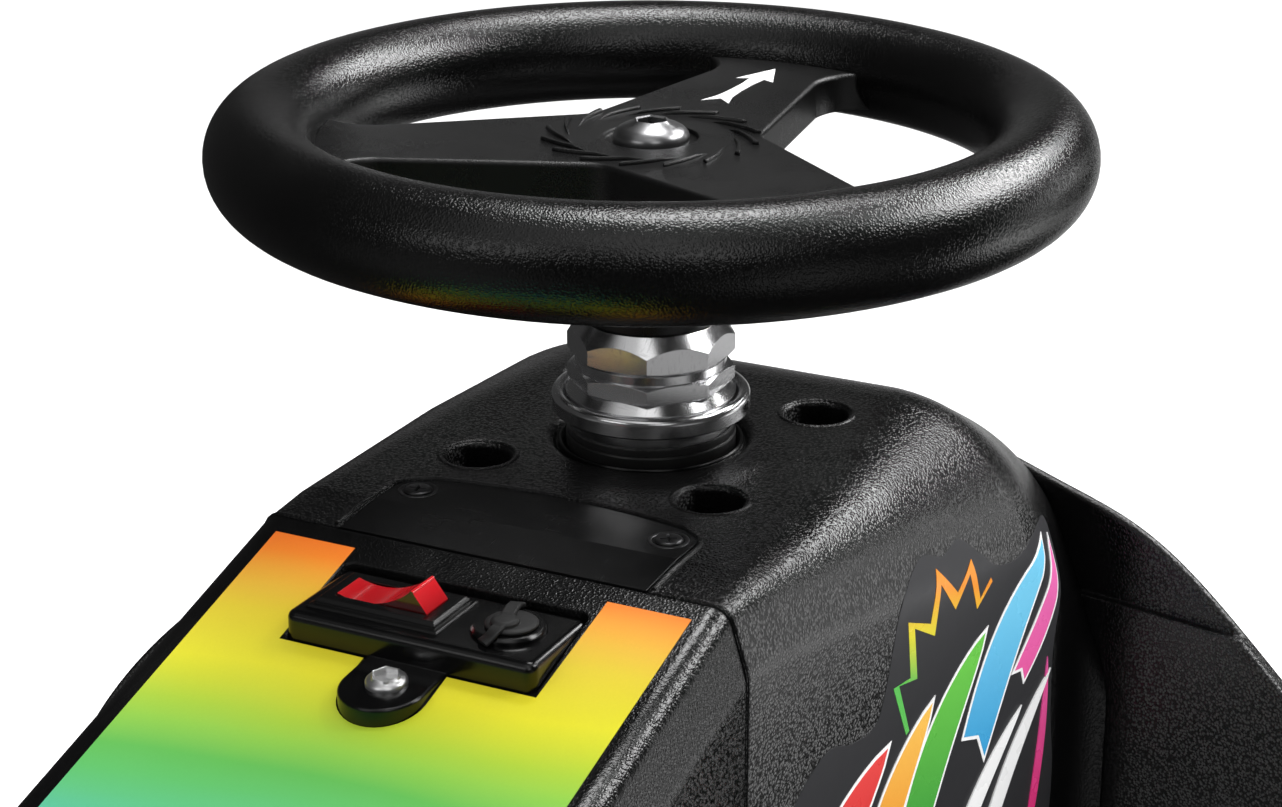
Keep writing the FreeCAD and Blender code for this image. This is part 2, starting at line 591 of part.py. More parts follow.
def rocker():
    """Rocker with a hollowed left part and a steep peak near its right end."""
    y0, y1 = BEZEL_Y - ROCKER_LONG / 2, BEZEL_Y + ROCKER_LONG / 2
    low = BOX_TOP - ROCKER_DEPTH
    top = BOX_TOP + ROCKER_RISE
    end = BOX_TOP + BEZEL_HIGH
    dip = V(0, BEZEL_Y + 1.5, end - 0.1)
    profile = [Part.makeLine(V(0, y0, low), V(0, y0, end)),
               Part.makeLine(V(0, y0, end), V(0, y0 + 3.0, top - 0.5)),
               Part.Arc(V(0, y0 + 3.0, top - 0.5), V(0, y0 + 3.4, top), V(0, y0 + 4.0, top - 0.4)).toShape(),
               Part.Arc(V(0, y0 + 4.0, top - 0.4), dip, V(0, y1, end + 0.4)).toShape(),
               Part.makeLine(V(0, y1, end + 0.4), V(0, y1, low)),
               Part.makeLine(V(0, y1, low), V(0, y0, low))]
    solid = face_of(profile).extrude(V(ROCKER_WIDE, 0, 0))
    solid.translate(V(BEZEL_X - ROCKER_WIDE / 2, 0, 0))
    return solid


def charge_port():
    """Charging socket: its barrel passes through the box and its round flange lies on top."""
    return turned([(0, -PORT_BARREL), (PORT_BARREL_R, -PORT_BARREL), (PORT_BARREL_R, 0), (PORT_R, 0),
                   (PORT_R, PORT_HIGH - 0.6), (PORT_R - 0.6, PORT_HIGH), (0, PORT_HIGH)],
                  centre=V(PORT_X, PORT_Y, BOX_TOP))


def port_cap():
    """Rubber cap over the charging socket, with its strap, finger pad and pull tab."""
    low = BOX_TOP + PORT_HIGH
    high = low + CAP_HIGH
    cap = turned([(0, 0), (CAP_R, 0), (CAP_R, CAP_HIGH - 0.5), (CAP_R - 0.5, CAP_HIGH), (0, CAP_HIGH)],
                 centre=V(PORT_X, PORT_Y, low))
    pad = cylinder(CAP_PAD_R, low, high + CAP_PAD_HIGH, PORT_X - 1.3, PORT_Y + 0.5)
    strap = block(PORT_X - PORT_R + 0.4, BOX_HIGH_X - 0.4, PORT_Y - CAP_STRAP_HALF,
                  PORT_Y + CAP_STRAP_HALF, low, low + CAP_STRAP)
    return cap.fuse([pad, strap]).removeSplitter()


def tab_screw():
    """Button-head screw that holds the tab down on the hood."""
    head = turned([(0, 0), (4.4, 0), (4.4, 0.6), (3.9, 1.8), (2.9, 2.5), (0, 2.7)])
    head = head.cut(prism(6, 3.2, 1.2, 4.0, 0))
    head.rotate(ORIGIN, Y, -TAB_ANGLE)
    head.translate(V(SCREW_X, 0, tab_top(SCREW_X)))
    return head


# ================================================================ head tube, cups and mount flange
def head_tube():
    """Steel head tube."""
    return turned([(HEAD_TUBE_BORE, HEAD_TUBE_FOOT), (HEAD_TUBE_R, HEAD_TUBE_FOOT),
                   (HEAD_TUBE_R, HEAD_TUBE_TOP), (HEAD_TUBE_BORE, HEAD_TUBE_TOP)])


def upper_cup():
    """Chromed bearing cup on top of the head tube: a wide band with a round rim and a hollow inside."""
    foot = HEAD_TUBE_TOP
    mid = CUP_ROUND * (1 - math.sqrt(0.5))
    inner = CUP_R - 2 * CUP_ROUND
    outside = [V(STEERER_R + 1.5, 0, foot), V(HEAD_TUBE_R - 0.3, 0, foot),
               V(HEAD_TUBE_R + 0.3, 0, CUP_BAND_Z - 0.6),
               V(CUP_R - 1.6, 0, CUP_BAND_Z), V(CUP_R - 0.4, 0, CUP_BAND_Z), V(CUP_R, 0, CUP_BAND_Z + 0.4),
               V(CUP_R, 0, CUP_RIM_Z - CUP_ROUND)]
    inside = [V(inner, 0, CUP_RIM_Z - CUP_ROUND), V(inner - 0.2, 0, CUP_RIM_Z - 2.4),
              V(STEERER_R + 1.5, 0, CUP_RIM_Z - 3.4), V(STEERER_R + 1.5, 0, foot)]
    rim = [Part.Arc(outside[-1], V(CUP_R - mid, 0, CUP_RIM_Z - mid), V(CUP_R - CUP_ROUND, 0, CUP_RIM_Z)),
           Part.Arc(V(CUP_R - CUP_ROUND, 0, CUP_RIM_Z), V(inner + mid, 0, CUP_RIM_Z - mid), inside[0])]
    lines = [Part.makeLine(a, b) for a, b in zip(outside, outside[1:])]
    more = [Part.makeLine(a, b) for a, b in zip(inside, inside[1:])]
    return Part.Face(Part.Wire(lines + [arc.toShape() for arc in rim] + more)).revolve(ORIGIN, Z, 360)


def column_seal():
    """Rubber seal under the upper cup, round the head tube."""
    return turned([(HEAD_TUBE_R, COWL_TOP - 3.0), (HEAD_TUBE_R + 0.35, COWL_TOP - 3.0),
                   (HEAD_TUBE_R + 0.35, COWL_TOP + 1.2), (HEAD_TUBE_R, COWL_TOP + 1.8)])


def lower_cup():
    """Bearing cup under the head tube."""
    foot = HEAD_TUBE_FOOT
    low = foot - CUP_HIGH
    wide = HEAD_TUBE_R + 2.8
    return turned([(STEERER_R + 1.5, foot), (wide - 1.3, foot), (wide, foot - 1.5), (wide, low + 1.0),
                   (wide - 1.3, low), (STEERER_R + 1.5, low + CUP_HOLLOW)])


def cowl_plate():
    """Square plate welded round the head tube, which carries the cowl's four wells."""
    plate = rounded_plate(PLATE_HALF, PLATE_HALF, 10.0, PLATE_TOP - PLATE_THICK, PLATE_TOP)
    holes = [cylinder(2.5, PLATE_TOP - 10, PLATE_TOP + 1, x, y) for x, y in four_corners(WELL_PITCH)]
    return plate.cut(holes + [cylinder(HEAD_TUBE_R, PLATE_TOP - 10, PLATE_TOP + 1)])


def mount_flange():
    """Flange with the four bolt holes that hold the front end on the kart's frame."""
    plate = rounded_plate(FLANGE_HALF, FLANGE_HALF, FLANGE_CORNER, 0, FLANGE_THICK)
    foot, head = FLANGE_THICK, FLANGE_THICK + GUSSET_HIGH
    rib = Part.Face(polygon([V(HEAD_TUBE_R - 1, 0, foot), V(GUSSET_OUT, 0, foot), V(GUSSET_OUT, 0, foot + 3),
                             V(HEAD_TUBE_R + 2, 0, head), V(HEAD_TUBE_R - 1, 0, head)]))
    rib = rib.extrude(V(0, GUSSET_THICK, 0))
    rib.translate(V(0, -GUSSET_THICK / 2, 0))
    ribs = []
    for quarter in range(4):
        one = rib.copy()
        one.rotate(ORIGIN, Z, 90 * quarter)
        ribs.append(one)
    holes = [cylinder(FLANGE_HOLE / 2, -1, FLANGE_THICK + 1, x, y) for x, y in four_corners(FLANGE_PITCH)]
    tube = cylinder(HEAD_TUBE_R, -1, FLANGE_THICK + GUSSET_HIGH + 1)
    return plate.fuse(ribs).cut(holes + [tube]).removeSplitter()


# ================================================================ turning part of the headset
def octagon(low, high, cone_foot, bore, top_r):
    """Eight-sided nut: a small chamfer below, and above cone_foot one cone that narrows to top_r."""
    corner = NUT_FLATS / 2 / math.cos(math.pi / NUT_SIDES)
    blank = turned([(bore, low), (corner - 1.2, low), (corner, low + 0.5), (corner, cone_foot),
                    (top_r, high), (bore, high)])
    return prism(NUT_SIDES, NUT_FLATS, low, high, NUT_TURN).common(blank)


def adjusting_nut():
    """Lower nut with the bearing cone below it, which sits in the upper cup."""
    low, high = COWL_TOP + NUT_LEVELS[0], COWL_TOP + NUT_LEVELS[1]
    nut = octagon(low, high, high - 0.8, STEERER_R, NUT_FLATS / 2)
    inner = CUP_R - 2 * CUP_ROUND - 0.35
    cone = turned([(STEERER_R, CUP_RIM_Z - 3.0), (STEERER_R + 1.8, CUP_RIM_Z - 3.0),
                   (inner - 0.3, CUP_RIM_Z - 1.9), (inner, CUP_RIM_Z - CUP_ROUND), (inner, CUP_RIM_Z - 0.3),
                   (NUT_FLATS / 2 - 0.5, low + 0.1), (STEERER_R, low + 0.1)])
    return nut.fuse(cone).removeSplitter()


def lock_washer():
    """Keyed washer between the two nuts."""
    low, high = COWL_TOP + NUT_LEVELS[1], COWL_TOP + NUT_LEVELS[2]
    return turned([(STEERER_R, low), (WASHER_R, low), (WASHER_R, high - 0.8), (WASHER_R - 0.8, high),
                   (STEERER_R, high)])


def lock_nut():
    """Upper nut, whose whole top narrows in one long cone to the steering wheel's boss."""
    return octagon(COWL_TOP + NUT_LEVELS[2], BOSS_FOOT, COWL_TOP + NUT_LEVELS[3], STEERER_R, BOSS_R - 0.1)


def steerer():
    """Steerer tube, closed at its top by the plug that takes the hub bolt."""
    top = ARM_TOP - ARM_THICK
    plug_low = top - 28.0
    return turned([(STEERER_BORE, CROWN_TOP), (STEERER_R, CROWN_TOP), (STEERER_R, top),
                   (HUB_BOLT_R, top), (HUB_BOLT_R, plug_low), (STEERER_BORE, plug_low)])


def crown_race():
    """Lower bearing cone on the fork crown."""
    seat = HEAD_TUBE_FOOT - CUP_HIGH - RUN_GAP
    wide = HEAD_TUBE_R + 1.5
    return turned([(STEERER_R, CROWN_TOP), (wide, CROWN_TOP), (wide, CROWN_TOP + 4.0),
                   (wide - 0.4, seat), (STEERER_R, seat + CUP_HOLLOW)])


# ================================================================ steering wheel
def arm_face(height):
    """Outline of one arm along +X: tapered to its waist, then flared into the grip."""
    root = 4.0
    end = RIM_R
    flare = ARM_WAIST_AT + 7.0

    def outline(sign):
        waist = V(ARM_WAIST_AT, sign * ARM_WAIST_HALF, height)
        curve = Part.BSplineCurve()
        curve.interpolate([waist, V(flare, sign * (ARM_WAIST_HALF + 1.6), height),
                           V(RIM_R - GRIP_R - 1.0, sign * ARM_END_HALF, height)])
        lip = curve.EndPoint
        return [Part.makeLine(V(root, sign * (ARM_ROOT_HALF + 1.2), height), waist), curve.toShape(),
                Part.makeLine(lip, V(end, sign * (ARM_END_HALF + 6.0), height))]

    left, right = outline(1), outline(-1)
    closing = [Part.makeLine(V(end, ARM_END_HALF + 6.0, height), V(end, -ARM_END_HALF - 6.0, height)),
               Part.makeLine(V(root, -ARM_ROOT_HALF - 1.2, height), V(root, ARM_ROOT_HALF + 1.2, height))]
    return face_of(Part.sortEdges(left + right + closing)[0])


def grip_ring():
    """Round grip of the steering wheel."""
    return Part.makeTorus(RIM_R, GRIP_R, V(0, 0, RIM_Z), Z)


def wheel_spider():
    """Three arms, hub and boss of the steering wheel, as one moulding."""
    low = ARM_TOP - ARM_THICK
    arms = []
    for third in range(3):
        arm = arm_face(low).extrude(V(0, 0, ARM_THICK))
        arm.rotate(ORIGIN, Z, 120 * third)
        arms.append(arm)
    core = cylinder(12.0, low, ARM_TOP)
    body = core.fuse(arms).removeSplitter()
    crotch = [e for e in body.Edges if abs(e.tangentAt(e.FirstParameter).z) > 0.9
              and math.hypot(e.CenterOfMass.x, e.CenterOfMass.y) < 32]
    body = body.makeFillet(ARM_FILLET, crotch)
    body = body.makeFillet(ARM_EDGE, [e for e in body.Edges if e.BoundBox.ZMin > ARM_TOP - 0.1])
    boss = turned([(0, BOSS_FOOT), (BOSS_R - 0.6, BOSS_FOOT), (BOSS_R, BOSS_FOOT + 0.6),
                   (BOSS_R, BOSS_FOOT + 8), (BOSS_TOP_R, low - 3), (BOSS_TOP_R + 3, low), (0, low)])
    body = body.fuse(boss).cut(grip_ring())
    body = body.cut([cylinder(STEERER_R, BOSS_FOOT - 1, low), cylinder(HUB_BOLT_R, low - 1, ARM_TOP + 1),
                     cylinder(HUB_RECESS_R, ARM_TOP - HUB_RECESS, ARM_TOP + 1)])
    return body.removeSplitter()


def hub_bolt():
    """Button-head bolt that holds the steering wheel on the steerer."""
    seat = ARM_TOP - HUB_RECESS
    head = HUB_BOLT_HEAD
    r = HUB_BOLT_HEAD_R
    bolt = turned([(0, seat - HUB_BOLT_LONG), (HUB_BOLT_R, seat - HUB_BOLT_LONG), (HUB_BOLT_R, seat),
                   (r, seat),
                   (r, seat + 0.25 * head), (0.9 * r, seat + 0.62 * head), (0.68 * r, seat + 0.9 * head),
                   (0.5 * r, seat + head), (0, seat + head)])
    return bolt.cut(prism(6, HUB_BOLT_HEX, seat + 1.2, seat + head + 1, 15))


# ================================================================ fork, axle and drive wheel
def fork_crown():
    """Crown plate at the foot of the steerer."""
    return rounded_plate(CROWN_HALF_X, CROWN_HALF_Y, 12.0, CROWN_TOP - CROWN_THICK, CROWN_TOP)


def fork_leg(side):
    """Plate leg welded under the crown, tapering to a round end at the axle."""
    top = CROWN_TOP - CROWN_THICK
    lean = math.asin((LEG_TOP_HALF - LEG_END_R) / (top - AXLE_Z))
    cx, cz = LEG_END_R * math.cos(lean), LEG_END_R * math.sin(lean)
    y = side * LEG_INSIDE
    outline = [Part.makeLine(V(-LEG_TOP_HALF, y, top), V(LEG_TOP_HALF, y, top)),
               Part.makeLine(V(LEG_TOP_HALF, y, top), V(cx, y, AXLE_Z + cz)),
               Part.Arc(V(cx, y, AXLE_Z + cz), V(0, y, AXLE_Z - LEG_END_R),
                        V(-cx, y, AXLE_Z + cz)).toShape(),
               Part.makeLine(V(-cx, y, AXLE_Z + cz), V(-LEG_TOP_HALF, y, top))]
    leg = face_of(outline).extrude(V(0, side * LEG_THICK, 0))
    bore = Part.makeCylinder(AXLE_R, 4 * AXLE_HALF, V(0, -2 * AXLE_HALF, AXLE_Z), Y)
    window = cylinder(9.0, LEG_INSIDE - 5, LEG_INSIDE + LEG_THICK + 5)
    window.rotate(ORIGIN, X, -90 * side)
    window.translate(V(0, 0, (top + AXLE_Z) / 2 + 14))
    return leg.cut([bore, window])


def axle():
    """Fixed axle with its collars against the inside of the legs."""
    collar_in = HUB_COVER_OUT + RUN_GAP
    half = [(0, 0), (AXLE_R, 0), (AXLE_R, collar_in), (AXLE_COLLAR_R, collar_in),
            (AXLE_COLLAR_R, LEG_INSIDE), (AXLE_R, LEG_INSIDE), (AXLE_R, AXLE_HALF - 1),
            (AXLE_R - 1, AXLE_HALF), (0, AXLE_HALF)]
    mirror = [(r, -h) for r, h in reversed(half[2:-1])]
    whole = [(0, -AXLE_HALF)] + mirror + half[2:]
    return turned(whole, axis=Y, centre=V(0, 0, AXLE_Z))


def axle_nut(side):
    """Hexagon nut outside a leg."""
    low = LEG_INSIDE + LEG_THICK
    nut = prism(6, AXLE_NUT_FLATS, low, low + AXLE_NUT_THICK, 30)
    corner = AXLE_NUT_FLATS / 2 / math.cos(math.pi / 6)
    blank = turned([(AXLE_R, low), (corner + 0.1, low), (corner + 0.1, low + AXLE_NUT_THICK - 1.0),
                    (corner - 1.8, low + AXLE_NUT_THICK), (AXLE_R, low + AXLE_NUT_THICK)])
    nut = nut.common(blank)
    nut.rotate(ORIGIN, X, -90 * side)
    nut.translate(V(0, 0, AXLE_Z))
    return nut


def tyre():
    """Solid of the 8-inch tyre, with a round tread and the seat for the hub's rim."""
    half = TYRE_WIDTH / 2

    def point(r, h):
        return V(r, h, 0)

    seat, flange = point(TYRE_BORE, HUB_HALF - 3), point(HUB_FLANGE_R, HUB_HALF - 3)
    wall = point(HUB_FLANGE_R + 6, half - 1.2)
    edges = [Part.makeLine(seat, flange),
             Part.makeLine(flange, wall),
             Part.Arc(wall, point(HUB_FLANGE_R + 14, half), point(TYRE_R - 8, half - 5)).toShape(),
             Part.Arc(point(TYRE_R - 8, half - 5), point(TYRE_R, 0), point(TYRE_R - 8, 5 - half)).toShape(),
             Part.Arc(point(TYRE_R - 8, 5 - half), point(HUB_FLANGE_R + 14, -half),
                      point(HUB_FLANGE_R + 6, 1.2 - half)).toShape(),
             Part.makeLine(point(HUB_FLANGE_R + 6, 1.2 - half), point(HUB_FLANGE_R, 3 - HUB_HALF)),
             Part.makeLine(point(HUB_FLANGE_R, 3 - HUB_HALF), point(TYRE_BORE, 3 - HUB_HALF)),
             Part.makeLine(point(TYRE_BORE, 3 - HUB_HALF), seat)]
    solid = face_of(edges).revolve(ORIGIN, Y, 360)
    solid.translate(V(0, 0, AXLE_Z))
    return solid


def hub_motor():
    """Hub motor shell: rim with two flanges and domed covers, running on the axle."""
    bore = AXLE_R + AXLE_RUN
    h, out = HUB_HALF, HUB_COVER_OUT
    half = [(TYRE_BORE, h - 3), (HUB_FLANGE_R, h - 3), (HUB_FLANGE_R, h), (HUB_FLANGE_R - 4, h),
            (HUB_COVER_R, h - 2), (HUB_COVER_R - 6, h + 3), (24, out - 2), (18, out), (bore, out)]
    other = [(r, -y) for r, y in reversed(half)]
    return turned(half + other, axis=Y, centre=V(0, 0, AXLE_Z))


# ================================================================ one file for each piece
PIECES = {
    "cowl": cowl,
    "front_shield": front_shield,
    "cover_plate": cover_plate,
    "rear_hood": rear_hood,
    "switch_box": switch_box,
    "rocker_bezel": rocker_bezel,
    "rocker": rocker,
    "charge_port": charge_port,
    "port_cap": port_cap,
    "tab_screw": tab_screw,
    "head_tube": head_tube,
    "upper_cup": upper_cup,
    "column_seal": column_seal,
    "lower_cup": lower_cup,
    "cowl_plate": cowl_plate,
    "mount_flange": mount_flange,
    "adjusting_nut": adjusting_nut,
    "lock_washer": lock_washer,
    "lock_nut": lock_nut,
    "steerer": steerer,
    "crown_race": crown_race,
    "grip_ring": grip_ring,
    "wheel_spider": wheel_spider,
    "hub_bolt": hub_bolt,
    "fork_crown": fork_crown,
    "fork_leg_left": lambda: fork_leg(1),
    "fork_leg_right": lambda: fork_leg(-1),
    "axle": axle,
    "axle_nut_left": lambda: axle_nut(1),
    "axle_nut_right": lambda: axle_nut(-1),
    "tyre": tyre,
    "hub_motor": hub_motor,
}

os.makedirs("parts", exist_ok=True)
for name, make in PIECES.items():
    shape = make()
    box = shape.BoundBox
    print(f"{name:15s} solids {len(shape.Solids)} valid {shape.isValid()} volume {shape.Volume:10.0f} "
          f"x {box.XMin:.1f}..{box.XMax:.1f} y {box.YMin:.1f}..{box.YMax:.1f} "
          f"z {box.ZMin:.1f}..{box.ZMax:.1f}")
    shape.exportStep(f"parts/{name}.step")
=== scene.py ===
import math

import bmesh
import bpy
from mathutils import Matrix, Vector
from mathutils.bvhtree import BVHTree


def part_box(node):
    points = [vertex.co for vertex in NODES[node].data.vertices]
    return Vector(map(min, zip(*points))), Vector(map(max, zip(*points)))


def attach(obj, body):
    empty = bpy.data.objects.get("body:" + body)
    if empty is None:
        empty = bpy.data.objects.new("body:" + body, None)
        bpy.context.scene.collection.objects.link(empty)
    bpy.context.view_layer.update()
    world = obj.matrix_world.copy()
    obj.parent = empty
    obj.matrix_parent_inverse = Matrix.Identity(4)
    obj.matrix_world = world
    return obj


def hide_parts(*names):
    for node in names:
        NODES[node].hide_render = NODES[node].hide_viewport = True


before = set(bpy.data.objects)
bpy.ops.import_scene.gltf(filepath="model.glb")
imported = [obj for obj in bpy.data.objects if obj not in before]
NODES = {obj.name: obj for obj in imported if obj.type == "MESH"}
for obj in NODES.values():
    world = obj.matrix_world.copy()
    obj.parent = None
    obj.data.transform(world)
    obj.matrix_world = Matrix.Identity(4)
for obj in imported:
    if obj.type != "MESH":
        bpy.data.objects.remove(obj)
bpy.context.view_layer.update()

MM = 0.001                # sizes below are in millimetres, and Blender works in metres


def low(name):
    """Lowest corner of a node, in millimetres."""
    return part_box(name)[0] / MM


def high(name):
    """Highest corner of a node, in millimetres."""
    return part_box(name)[1] / MM


def middle(name):
    """Centre of a node's box, in millimetres."""
    return (low(name) + high(name)) / 2


# ---------------------------------------------------------------- levels taken from the frame
TOP = high("cowl").z                  # flat top of the cowl
FLOOR = low("tyre").z
ARM_TOP = high("hub_bolt").z - 4.0    # upper face of the steering wheel's arms
AXLE = middle("axle")

# ---------------------------------------------------------------- sizes shared with the solids
HOOD_ANGLE = math.radians(16.4)       # slope of the rear hood
HOOD_START_X = -77.0                  # where the slope starts
HOOD_START_DROP = 1.2                 # how far its start lies below the cowl's flat top
HOOD_STRAIGHT = 95.0                  # length of the slope, measured level
HOOD_END_R = 50.0                     # radius of the hood's rounded end
WELL_OFFSET = 29.5                    # from the column to each screw well, forward and sideways
WELL_DEPTH = 17.0
WELLS = [(x, y) for x in (-WELL_OFFSET, WELL_OFFSET) for y in (-WELL_OFFSET, WELL_OFFSET)]
TAB_LEAN = 5.0                        # slope of the switch box's tab, in degrees
TAB_X = -120.0                        # centre of the tab's rounded end
TAB_SCREW_X = -119.0
TYRE_R = 100.0
TYRE_HALF = 25.0                      # half the tyre's width

# ---------------------------------------------------------------- camera
CAMERA_PLACE = (-0.54977, -0.27231, 0.24248 + TOP * MM)
CAMERA_WAY = (0.8352, 0.4176, -0.3578)
CAMERA_LENS = 79.23


def make_camera():
    data = bpy.data.cameras.new("studio_camera")
    data.sensor_width = 36.0
    data.lens = CAMERA_LENS
    data.clip_start, data.clip_end = 0.01, 50
    camera = bpy.data.objects.new("studio_camera", data)
    bpy.context.scene.collection.objects.link(camera)
    camera.location = CAMERA_PLACE
    camera.rotation_euler = Vector(CAMERA_WAY).to_track_quat("-Z", "Y").to_euler()
    bpy.context.scene.camera = camera


# ================================================================ wiring helpers
def add(tree, kind, inputs=(), **settings):
    """Shader node with its settings, and its inputs given as {label or number: value or socket}."""
    made = tree.nodes.new("ShaderNode" + kind)
    for key, value in settings.items():
        setattr(made, key, value)
    for label, value in dict(inputs).items():
        if isinstance(value, bpy.types.NodeSocket):
            tree.links.new(value, made.inputs[label])
        else:
            made.inputs[label].default_value = value
    return made


def maths(tree, operation, a, b=0.0, c=0.0, clamp=False):
    return add(tree, "Math", {0: a, 1: b, 2: c}, operation=operation, use_clamp=clamp).outputs[0]


def remap(tree, value, low_in, high_in, low_out=0.0, high_out=1.0):
    """Value carried smoothly from one range into another, held at its ends."""
    made = add(tree, "MapRange", {"Value": value, "From Min": low_in, "From Max": high_in,
                                  "To Min": low_out, "To Max": high_out}, interpolation_type="SMOOTHSTEP")
    return made.outputs["Result"]


def blend_colour(tree, share, first, second, mode="MIX"):
    made = add(tree, "Mix", data_type="RGBA", blend_type=mode)
    sockets = [s for s in made.inputs if s.enabled]
    for socket, value in zip(sockets, (share, first, second)):
        if isinstance(value, bpy.types.NodeSocket):
            tree.links.new(value, socket)
        else:
            socket.default_value = value
    return next(s for s in made.outputs if s.enabled)


def component(tree, vector, axis):
    """One component of a vector, for an axis of X, Y or Z."""
    return add(tree, "SeparateXYZ", {0: vector}).outputs[axis]


def looking(tree, axis):
    """How squarely the surface looks along an axis, from -1 to 1."""
    return component(tree, add(tree, "NewGeometry").outputs["Normal"], axis)


def stretched(tree, coordinates, factors):
    """Coordinates multiplied by three factors."""
    return add(tree, "VectorMath", {0: coordinates, 1: factors}, operation="MULTIPLY").outputs[0]


def noise(tree, coordinates, scale, detail=3.0, roughness=0.5):
    made = add(tree, "TexNoise", {"Vector": coordinates, "Scale": scale, "Detail": detail,
                                  "Roughness": roughness})
    return made.outputs[0]


def cells(tree, coordinates, scale):
    return add(tree, "TexVoronoi", {"Vector": coordinates, "Scale": scale}).outputs["Distance"]


def new_group(name, inputs, outputs):
    """Empty shader group with its sockets, its input node and its output node."""
    tree = bpy.data.node_groups.new(name, "ShaderNodeTree")
    for label, kind, value in inputs:
        socket = tree.interface.new_socket(name=label, in_out="INPUT", socket_type="NodeSocket" + kind)
        if value is not None:
            socket.default_value = value
    for label, kind in outputs:
        tree.interface.new_socket(name=label, in_out="OUTPUT", socket_type="NodeSocket" + kind)
    return tree, tree.nodes.new("NodeGroupInput").outputs, tree.nodes.new("NodeGroupOutput").inputs


def place(tree, group, **values):
    """A group placed in a material, with its own values. Underscores stand for spaces."""
    made = tree.nodes.new("ShaderNodeGroup")
    made.node_tree = group
    for label, value in values.items():
        socket = made.inputs[label.replace("_", " ")]
        if isinstance(value, bpy.types.NodeSocket):
            tree.links.new(value, socket)
        else:
            socket.default_value = value
    return made.outputs


# ================================================================ effects shared by the finishes
def make_moulded_grain():
    """Pebbled grain of a moulding: rounded cells of one size with finer wrinkles over them."""
    tree, given, result = new_group(
        "moulded_grain",
        [("Place", "Vector", None), ("Cell Size", "Float", 0.7), ("Wrinkles", "Float", 0.4)],
        [("Height", "Float"), ("Crests", "Float")])
    density = maths(tree, "DIVIDE", 1.0 / MM, given["Cell Size"])
    warp = add(tree, "TexNoise", {"Vector": given["Place"], "Scale": maths(tree, "MULTIPLY", density, 0.6),
                                  "Detail": 1.0})
    shift = add(tree, "VectorMath", {0: warp.outputs["Color"], 3: 0.0006}, operation="SCALE").outputs[0]
    bent = add(tree, "VectorMath", {0: given["Place"], 1: shift}, operation="ADD").outputs[0]
    pebble = cells(tree, bent, density)
    crest = remap(tree, pebble, 0.72, 0.08)
    wrinkle = noise(tree, given["Place"], maths(tree, "MULTIPLY", density, 1.7), 2.0, 0.6)
    height = maths(tree, "ADD", maths(tree, "MULTIPLY", wrinkle, given["Wrinkles"]),
                   maths(tree, "MULTIPLY", crest, maths(tree, "SUBTRACT", 1.0, given["Wrinkles"])))
    tree.links.new(height, result["Height"])
    tree.links.new(crest, result["Crests"])
    return tree


def make_slow_change():
    """Value that wanders slowly over a surface between two ends, as handling and moulding leave it."""
    tree, given, result = new_group(
        "slow_change",
        [("Place", "Vector", None), ("Patch Size", "Float", 25.0), ("From", "Float", 0.3),
         ("To", "Float", 0.5)],
        [("Value", "Float")])
    density = maths(tree, "DIVIDE", 1.0 / MM, given["Patch Size"])
    broad = noise(tree, given["Place"], density, 3.0, 0.55)
    spread = add(tree, "MapRange", {"Value": broad, "From Min": 0.35, "From Max": 0.65,
                                    "To Min": given["From"], "To Max": given["To"]})
    tree.links.new(spread.outputs["Result"], result["Value"])
    return tree


def make_rubbed_edges():
    """Mask of convex edges, broken up by a fine noise, and the rounded normal that found them."""
    tree, given, result = new_group(
        "rubbed_edges",
        [("Place", "Vector", None), ("Radius", "Float", 0.5), ("Amount", "Float", 0.5)],
        [("Mask", "Float"), ("Normal", "Vector")])
    rounded = add(tree, "Bevel", {"Radius": maths(tree, "MULTIPLY", given["Radius"], MM)}, samples=3)
    geometry = add(tree, "NewGeometry")
    along = add(tree, "VectorMath", {0: rounded.outputs[0], 1: geometry.outputs["Normal"]},
                operation="DOT_PRODUCT").outputs["Value"]
    edge = remap(tree, along, 0.995, 0.86)
    broken = remap(tree, noise(tree, given["Place"], 900.0, 3.0, 0.7), 0.4, 0.62)
    mask = maths(tree, "MULTIPLY", maths(tree, "MULTIPLY", edge, broken), given["Amount"], clamp=True)
    tree.links.new(mask, result["Mask"])
    tree.links.new(rounded.outputs[0], result["Normal"])
    return tree


def make_fine_scratches():
    """Hairline marks in two directions, as a height and a mask."""
    tree, given, result = new_group(
        "fine_scratches",
        [("Place", "Vector", None), ("Spacing", "Float", 0.4)],
        [("Height", "Float"), ("Mask", "Float")])
    density = maths(tree, "DIVIDE", 1.0 / MM, given["Spacing"])
    one = noise(tree, stretched(tree, given["Place"], (1.0, 0.04, 0.3)), density, 2.0)
    other = noise(tree, stretched(tree, given["Place"], (0.05, 1.0, 0.4)), density, 2.0)
    both = maths(tree, "MAXIMUM", one, other)
    tree.links.new(both, result["Height"])
    tree.links.new(remap(tree, both, 0.58, 0.74), result["Mask"])
    return tree


def make_settled_dust():
    """Mask of thin dust on faces that look up, thicker in slow patches."""
    tree, given, result = new_group(
        "settled_dust",
        [("Place", "Vector", None), ("Amount", "Float", 0.1)],
        [("Mask", "Float")])
    facing = remap(tree, looking(tree, "Z"), 0.2, 1.0)
    patch = remap(tree, noise(tree, given["Place"], 45.0, 4.0, 0.65), 0.4, 0.7)
    speck = remap(tree, noise(tree, given["Place"], 2600.0, 1.0, 0.5), 0.5, 0.75)
    amount = maths(tree, "MULTIPLY", maths(tree, "ADD", maths(tree, "MULTIPLY", speck, 0.6), 0.4),
                   maths(tree, "MULTIPLY", facing, patch))
    tree.links.new(maths(tree, "MULTIPLY", amount, given["Amount"], clamp=True), result["Mask"])
    return tree


